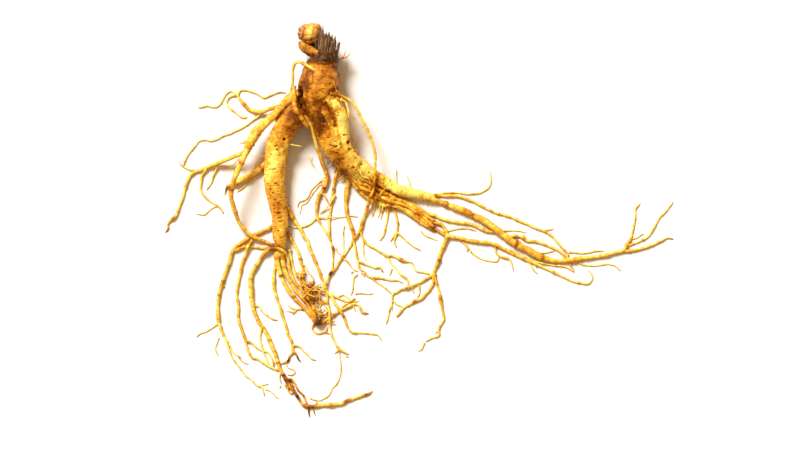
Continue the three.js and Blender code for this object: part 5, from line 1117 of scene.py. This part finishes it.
class Finish:  # a material whose nodes are added in a line or two
  def __init__(self, name):
    self.material = bpy.data.materials.new(name)
    self.material.use_nodes = True
    self.tree = self.material.node_tree
    self.shader = self.tree.nodes["Principled BSDF"]
    self.coords = self.tree.nodes.new("ShaderNodeTexCoord").outputs["Object"]

  def join(self, value, socket):
    if hasattr(value, "is_output"):
      self.tree.links.new(value, socket)
    else:
      socket.default_value = value

  def attribute(self, name):
    node = self.tree.nodes.new("ShaderNodeAttribute")
    node.attribute_name = name
    return node.outputs["Fac"]

  def noise(self, size, detail=2.0, rough=0.55, stretch=None, warp=0.0):
    node = self.tree.nodes.new("ShaderNodeTexNoise")
    place = self.coords
    if stretch:
      mapping = self.tree.nodes.new("ShaderNodeMapping")
      mapping.inputs["Scale"].default_value = stretch
      self.join(place, mapping.inputs["Vector"])
      place = mapping.outputs["Vector"]
    self.join(place, node.inputs["Vector"])
    node.inputs["Scale"].default_value = 1 / (size * mm)
    node.inputs["Detail"].default_value = detail
    node.inputs["Roughness"].default_value = rough
    node.inputs["Distortion"].default_value = warp
    return node.outputs["Fac"]

  def sums(self, operation, *values):
    node = self.tree.nodes.new("ShaderNodeMath")
    node.operation = operation
    for value, socket in zip(values, node.inputs):
      self.join(value, socket)
    return node.outputs[0]

  def plus(self, a, b):
    return self.sums("ADD", a, b)

  def minus(self, a, b):
    return self.sums("SUBTRACT", a, b)

  def times(self, a, b, more=0.0):  # a * b + more
    return self.sums("MULTIPLY_ADD", a, b, more)

  def between(self, value, low, high):
    node = self.tree.nodes.new("ShaderNodeMapRange")
    node.interpolation_type = "SMOOTHSTEP"
    self.join(value, node.inputs["Value"])
    node.inputs["From Min"].default_value = low
    node.inputs["From Max"].default_value = high
    return node.outputs["Result"]

  def ramp(self, value, stops):
    node = self.tree.nodes.new("ShaderNodeValToRGB")
    while len(node.color_ramp.elements) < len(stops):
      node.color_ramp.elements.new(0.5)
    for element, (position, colour) in zip(node.color_ramp.elements, stops):
      element.position = position
      element.color = shade(colour)
    self.join(value, node.inputs["Fac"])
    return node.outputs["Color"]

  def mix(self, share, a, b):
    node = self.tree.nodes.new("ShaderNodeMix")
    node.data_type = "RGBA"
    self.join(share, node.inputs[0])
    self.join(a, node.inputs[6])
    self.join(b, node.inputs[7])
    return node.outputs[2]

  def bump(self, height, reach, strength=1.0):
    node = self.tree.nodes.new("ShaderNodeBump")
    node.inputs["Strength"].default_value = strength
    node.inputs["Distance"].default_value = reach * mm
    self.join(height, node.inputs["Height"])
    return node.outputs["Normal"]

  def give(self, **values):
    for name, value in values.items():
      self.join(value, self.shader.inputs[name.replace("_", " ").title().replace("Ior", "IOR")])

  def glow(self, share):  # light that passes through the skin, reddest furthest
    reaches, scale = (1.0, 0.5, 0.15), 1.2 * mm
    self.give(subsurface_weight=share, subsurface_radius=reaches, subsurface_scale=scale)


def rootFinish():
  f, look = Finish("rootSkin"), skinLook
  dark = f.attribute("dark")
  grown = f.between(f.attribute("girth"), 1.2, 4.5)
  (blotchSize, blotchShare), (speckSize, speckShare) = look["blotch"], look["speck"]
  blotch, speck = f.noise(blotchSize, 3, 0.6), f.noise(speckSize, 3, 0.6)
  tone = f.plus(f.attribute("ripe"), f.times(f.minus(blotch, 0.5), blotchShare))
  tone = f.plus(tone, f.times(f.minus(speck, 0.5), speckShare))
  # Thin crosswise lines, broken up by noise.
  crooked = f.plus(f.attribute("along"), f.times(f.noise(4, 2), 3.0))
  line = f.sums("ABSOLUTE", f.sums("SINE", f.times(crooked, math.pi / look["linePitch"])))
  line = f.minus(1.0, f.between(line, 0.0, 0.34))
  line = f.times(line, f.between(f.noise(3.4, 2), 0.46, 0.62))
  line = f.times(line, f.times(grown, 0.75, 0.25))
  tone = f.plus(tone, f.times(line, look["lineShare"]))
  colour = f.ramp(tone, [
    (0.05, look["palest"]), (0.26, look["pale"]), (0.5, look["ripe"]), (0.76, look["brown"]),
    (1.0, look["bark"]),
  ])
  freckle = f.times(f.between(f.noise(0.9, 2, 0.5), 0.66, 0.74), f.times(grown, 0.5, 0.2))
  colour = f.mix(freckle, colour, shade(look["brown"]))
  barkTone = f.ramp(f.noise(1.4, 4, 0.65, (1, 0.45, 1)), [
    (0.36, look["barkDark"]), (0.56, look["bark"]), (0.74, look["barkLight"]),
  ])
  worn = f.times(f.between(f.noise(1.8, 3), 0.3, 0.5), 0.25, 0.75)
  colour = f.mix(f.times(f.attribute("bark"), worn), colour, barkTone)
  # dark holds the lenticels' and pits' own colour together with painted shade from grooves, creases
  # and streaks
  colour = f.mix(f.between(dark, 0.04, 0.5), colour, shade(look["brown"]))
  colour = f.mix(f.between(dark, 0.42, 0.95), colour, shade(look["pitAndShade"]))
  relief = f.plus(f.times(f.noise(1.3, 4, 0.6), 0.5), f.times(f.noise(0.45, 3, 0.6), 0.22))
  relief = f.minus(relief, f.times(line, 0.3))
  f.give(
    base_color=colour,
    roughness=f.times(speck, 0.25, look["roughness"] - 0.1),
    specular_ior_level=f.times(f.between(dark, 0.1, 0.6), -0.16, look["shine"]),
    normal=f.bump(relief, 0.55, 0.9),
  )
  f.glow(look["glow"])
  return f.material


def budFinish():
  f, look = Finish("budSkin"), budLook
  patch = f.plus(f.times(f.noise(3.2, 3, 0.6), 0.7), f.times(f.noise(1.0, 3, 0.6), 0.3))
  # painted shading moves the ramp: shade in creases and towards the sides and underside, a
  # highlight on the top
  colour = f.ramp(f.plus(patch, f.attribute("paintedBudShading")), [
    (0.34, look["light"]), (0.52, look["mid"]), (0.72, look["shade"]), (0.95, look["deep"]),
  ])
  relief = f.plus(f.noise(1.6, 3, 0.6), f.times(f.noise(0.5, 2, 0.6), 0.4))
  f.give(base_color=colour, roughness=look["roughness"], normal=f.bump(relief, 0.4, 0.8))
  f.glow(look["glow"])
  return f.material


def dryFinish(name, look, size):
  f = Finish(name)
  streak = f.noise(size, 4, 0.65, (1, 0.16, 1), 0.6)
  tone = f.plus(f.times(streak, 0.75), f.times(f.noise(0.7, 3, 0.6), 0.25))
  colour = f.ramp(tone, [(0.36, look["dark"]), (0.5, look["base"]), (0.64, look["streak"])])
  f.give(base_color=colour, roughness=look["roughness"], normal=f.bump(tone, 0.7))
  return f.material


def floorFinish():
  f = Finish("paleFloor")
  f.give(base_color=floorLook["colour"], roughness=floorLook["roughness"], specular_ior_level=0.0)
  return f.material


def finished(piece, material):
  piece.data.materials.clear()
  piece.data.materials.append(material)
  only(piece)
  bpy.ops.object.shade_smooth()


skin = rootFinish()
finished(core, skin)
finished(roots, skin)
print("finishes made")

budLook = {
  "light": (240, 212, 104),
  "mid": (202, 138, 44),
  "shade": (128, 68, 8),
  "deep": (74, 38, 6),
  "roughness": 0.4,
  "glow": 0.12,
  "grain": 0.28,     # size of its faces
  "smoothing": 9,    # rounds
  "slit": 1.6,       # length of the slits that make up a crease, and the step between them
  "slitStep": 0.5,
  "lumps": [(4, 0.35), (1.5, 0.14), (0.7, 0.06)],  # size, height
  # how strongly painted shade in the creases, and towards the sides and underside, darkens the bud
  "creaseShading": 0.75,
  "sideShading": 1.25,
}
budLobes = [  # x, y, z, radius
  [-66, 112.4, 12.4, 5.7], [-71.3, 109.8, 12.6, 1.9], [-71.5, 112, 12.4, 2],
  [-71.1, 114.4, 12.6, 1.8], [-64.7, 115.4, 13, 3.3], [-61.7, 115.6, 12.6, 2.5],
  [-61.8, 112.8, 12.8, 2.5], [-62.9, 108.8, 12.8, 2.8], [-63, 106.8, 12.8, 1.3],
  [-68.5, 109.6, 13.6, 2.9], [-66, 109, 13.8, 3], [-68.6, 115.4, 12.6, 2.6],
]
budCreases = [  # width, depth, darkness (painted shade in the crease), points
  [1.6, 0.7, 0.26, [(-70.9, 108.4), (-70.5, 110.6), (-70.4, 112.6), (-70, 114.2)]],
  [1.4, 0.6, 0.28, [(-70.4, 108), (-68, 107.4), (-65.6, 107.4), (-64, 108)]],
  [1.3, 0.55, 0.22, [(-70, 116.9), (-69.4, 115.6), (-69, 114.6)]],
  [1.3, 0.3, 0.06, [(-63, 118), (-62.7, 115.4), (-63.4, 113), (-63.6, 110.6)]],
  [1.2, 0.25, 0.05, [(-66.8, 110.4), (-65, 110.8), (-63.4, 110.4)]],
]
budShadedSides = [  # painted shade, browner towards the bud's sides and underside: axis, way along it, start, reach, share
  [0, -1, -69.2, 2.5, 0.16], [1, -1, 109.5, 3, 0.14], [0, 1, -63.5, 2.5, 0.08],
  [2, -1, 12.5, 4, 0.12],
]
budTopHighlight = {"x": -66, "y": 113, "above": 14, "spread": 7, "share": 0.14}  # painted highlight, palest on the bud's top

beads = []
for x, y, z, radius in budLobes:
  bpy.ops.mesh.primitive_uv_sphere_add(
    segments=32, ring_count=20, radius=radius * mm, location=(x * mm, y * mm, z * mm)
  )
  beads.append(bpy.context.object)
only(beads[0])
for bead in beads:
  bead.select_set(True)
bpy.ops.object.join()
bud = bpy.context.object
bud.name = "winterBud"
bpy.ops.object.transform_apply(location=True, rotation=True, scale=True)
modified(bud, "REMESH", mode="VOXEL", voxel_size=budLook["grain"] * mm, adaptivity=0)
modified(bud, "SMOOTH", factor=0.5, iterations=budLook["smoothing"])

budPoints, budFacing = places(bud), normals(bud)
spots = [
  (centre, heading, budLook["slit"], width, deep, darkness)
  for width, deep, darkness, route in budCreases
  for centre, heading in alongRoute(budPoints, budFacing, route, budLook["slitStep"])
]
depth, budCreaseShade = carved(budPoints, spots)
swell = sum(height * lumps(budPoints, size) for size, height in budLook["lumps"])
budPoints += budFacing * (swell - depth)[:, None]
put(bud, budPoints)
# painted shade towards the bud's sides and underside, less on its top where a highlight is painted
budSideShadeAndTopLight = sum(
  share * rising(way * budPoints[:, axis], way * start, reach)
  for axis, way, start, reach, share in budShadedSides
)
away = (budPoints[:, 0] - budTopHighlight["x"]) ** 2 + (budPoints[:, 1] - budTopHighlight["y"]) ** 2
above = budPoints[:, 2] > budTopHighlight["above"]
budSideShadeAndTopLight -= budTopHighlight["share"] * np.exp(-away / budTopHighlight["spread"]) * above
mark(bud, "paintedBudShading", budLook["creaseShading"] * budCreaseShade + budLook["sideShading"] * budSideShadeAndTopLight)
print("bud grown")

scaleLook = {
  "base": (98, 68, 40), "streak": (168, 130, 84), "dark": (38, 20, 6), "roughness": 0.75,
  "across": 22, "lengthwise": 34,  # faces
  "thickness": 0.45, "bow": 0.9, "ridges": (0.24, 0.16),
}
# Each scale: foot, middle and tip of its centreline, width, and how ragged its tip is.
scales = [
  [(-62.2, 104.6, 12.6), (-61, 110, 14), (-59.8, 115.6, 13.2), 3.8, 0.3],
  [(-56.6, 99.6, 16.2), (-55.6, 106.6, 18), (-55, 113.8, 17), 4.6, 0.4],
  [(-50.6, 97, 10.6), (-48.6, 102.4, 11.6), (-48, 107.4, 10.8), 4, 0.3],
  [(-57.4, 100.6, 6.8), (-56.6, 104.6, 6.2), (-56, 108.6, 6.8), 4.6, 0.4],
  [(-60, 101.8, 15.4), (-59.4, 109, 17.2), (-58.2, 117.4, 16.4), 4.4, 0.5],
  [(-53, 98, 14.8), (-51.4, 104, 16.2), (-50.8, 110.8, 15), 4.4, 0.4],
  [(-53, 99.6, 7.8), (-51.6, 103.4, 7.4), (-50.8, 107, 7.8), 4.4, 0.3],
  [(-60.4, 102.6, 9), (-60, 106.4, 8.4), (-59.2, 110, 9), 4.2, 0.4],
]
stumpFoot, stumpHeading = np.array([-57, 100, 11.6]), np.array([0.19, 0.98, 0.03])


def bow(a, b, c, t):  # a smooth line through three points
  t = np.asarray(t)[:, None]
  return (2 * (t - 0.5) * (t - 1)) * a - (4 * t * (t - 1)) * b + (2 * t * (t - 0.5)) * c


def dryScale(index, foot, middle, tip, width, ragged):
  rng = random.Random(60 + index)
  bpy.ops.mesh.primitive_grid_add(
    x_subdivisions=scaleLook["across"], y_subdivisions=scaleLook["lengthwise"], size=2
  )
  piece = bpy.context.object
  piece.name = f"dryScale{index + 1}"
  grid = places(piece) * mm
  u, t = grid[:, 0], (grid[:, 1] + 1) / 2
  a, b, c = np.array(foot), np.array(middle), np.array(tip)
  out = b - stumpFoot
  out -= stumpHeading * out.dot(stumpHeading)
  out /= np.linalg.norm(out)
  run = (c - a) / np.linalg.norm(c - a)
  side = np.cross(run, out)
  teeth, phase = rng.uniform(2.2, 3.4), rng.uniform(0, 6)
  tooth = np.abs(np.sin(teeth * u + phase)) ** 1.5
  reach = 1 - ragged * (0.35 * u**2 + 0.55 * (1 - tooth)) + 0.05 * waver(u, 0.4, index)
  v = t * reach
  taper = np.sqrt(np.clip(1 - 0.8 * v**3, 0.05, 1))
  half = 0.5 * width * (0.9 + 0.2 * np.sin(math.pi * v)) * taper
  broad, narrow = scaleLook["ridges"]
  ridge = broad * np.sin(9 * u + phase) + narrow * np.sin(17 * u + 2 * phase + 2 * v)
  height = ridge - scaleLook["bow"] * u**2 + 0.25 * waver(v * 8 + 3 * u, 2, index + 20)
  put(piece, bow(a, b, c, v) + side * (u * half)[:, None] + out * height[:, None])
  facingOut(piece)
  modified(piece, "SOLIDIFY", thickness=scaleLook["thickness"] * mm, offset=0)
  modified(piece, "SUBSURF", levels=1, render_levels=1)
  facingOut(piece)
  return piece


scalePieces = [dryScale(i, *row) for i, row in enumerate(scales)]
print("scales bent")

stumpLook = {
  "base": (86, 60, 36), "streak": (150, 112, 70), "dark": (34, 17, 5), "roughness": 0.8,
  "fibres": 46,
  "middle": (-56.4, 100.4, 11.6),  # of the fibres' feet
  "spread": (6.2, -2.9),           # from the middle to the right edge, along x and y
  "radius": 4.6,                   # height of the crest over the middle
  "fibreLength": (6, 14.5),
  "fibreRadius": (0.26, 0.52),
  "stations": 22,
}


def fibre(rng):  # one dry fibre of the stem, from the collar up
  swing, level = rng.uniform(-1, 1), rng.uniform(-0.6, 1)
  (x, y, z), (spreadX, spreadY) = stumpLook["middle"], stumpLook["spread"]
  rise = level * stumpLook["radius"] * math.sqrt(1 - 0.7 * swing**2)
  foot = np.array([x + spreadX * swing, y + spreadY * swing, z + rise])
  length = rng.uniform(*stumpLook["fibreLength"]) * (1 - 0.28 * max(0, swing))
  lean = rng.uniform(-0.04, 0.16) + 0.12 * swing
  top = foot + np.array([lean * length, length, rng.uniform(-0.6, 1.6)])
  belly = [0.5 * swing + rng.uniform(-0.5, 0.5), 0, 0.8 + rng.uniform(0, 0.8)]
  t = np.linspace(0, 1, stumpLook["stations"])
  radius = rng.uniform(*stumpLook["fibreRadius"]) * np.clip(1.1 - 0.75 * t**2, 0.25, 1)
  return {"p": bow(foot, (foot + top) / 2 + np.array(belly), top, t), "r": radius, "s": t * length}


stumpCore = [
  [-58, 99.4, 11.6, 4.6], [-57, 102, 11.8, 5], [-56, 105.6, 12.2, 4.6], [-55.2, 109, 12.4, 3.6],
  [-54.8, 110.6, 12.4, 2.2],
]
stumpRng = random.Random(12)
fibres = [fibre(stumpRng) for _ in range(stumpLook["fibres"])]
stump = tubes([limb(stumpCore, 0.0)] + fibres, "stemStump", 3)
points, facing = places(stump), normals(stump)
rough = 0.16 * lumps(points * [1, 0.3, 1], 0.9) + 0.1 * lumps(points, 0.8)
put(stump, points + facing * rough[:, None])
print("stump bundled")

finished(bud, budFinish())
finished(stump, dryFinish("stumpBark", stumpLook, 1.1))
dry = dryFinish("dryScale", scaleLook, 1.0)
for piece in scalePieces:
  finished(piece, dry)

for piece in (core, roots, bud, stump, *scalePieces):
  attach(piece, "root")
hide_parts("root")
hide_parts("winter_bud")
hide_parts("stem_stump")
for i, piece in enumerate(scalePieces):
  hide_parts(f"dry_scale_{i + 1}")

floorLook = {"colour": (0.86, 0.86, 0.85, 1), "roughness": 0.9, "size": 12, "drop": 0.1 * mm}
light = {
  "key": 4.8, "angle": 20, "rise": 42, "bearing": 120,
  "fill": (0.96, 0.66, 0.34), "fillPower": 0.54,
}
view = {"place": (-12 * mm, -2.4 * mm, 2.6727), "lens": 200, "sensor": 36, "reach": 20}

bpy.ops.mesh.primitive_plane_add(size=floorLook["size"], location=(0, 0, -floorLook["drop"]))
floor = bpy.context.object
floor.name = "floor"
floor.data.materials.append(floorFinish())

rise, bearing = math.radians(light["rise"]), math.radians(light["bearing"])
level = math.cos(rise)
source = Vector((math.cos(bearing) * level, math.sin(bearing) * level, math.sin(rise)))
bpy.ops.object.light_add(type="SUN", location=source)
key = bpy.context.object
key.name = "keyLight"
key.data.energy = light["key"]
key.data.angle = math.radians(light["angle"])
key.rotation_euler = source.to_track_quat("Z", "Y").to_euler()

world = bpy.data.worlds.new("softFill")
bpy.context.scene.world = world
world.use_nodes = True
background = world.node_tree.nodes["Background"]
background.inputs["Color"].default_value = (*light["fill"], 1)
background.inputs["Strength"].default_value = light["fillPower"]

bpy.ops.object.camera_add(location=view["place"], rotation=(0, 0, 0))
camera = bpy.context.object
camera.data.lens = view["lens"]
camera.data.sensor_width = view["sensor"]
camera.data.clip_end = view["reach"]
bpy.context.scene.camera = camera
bpy.context.scene.view_settings.view_transform = "Standard"
print("stage set")
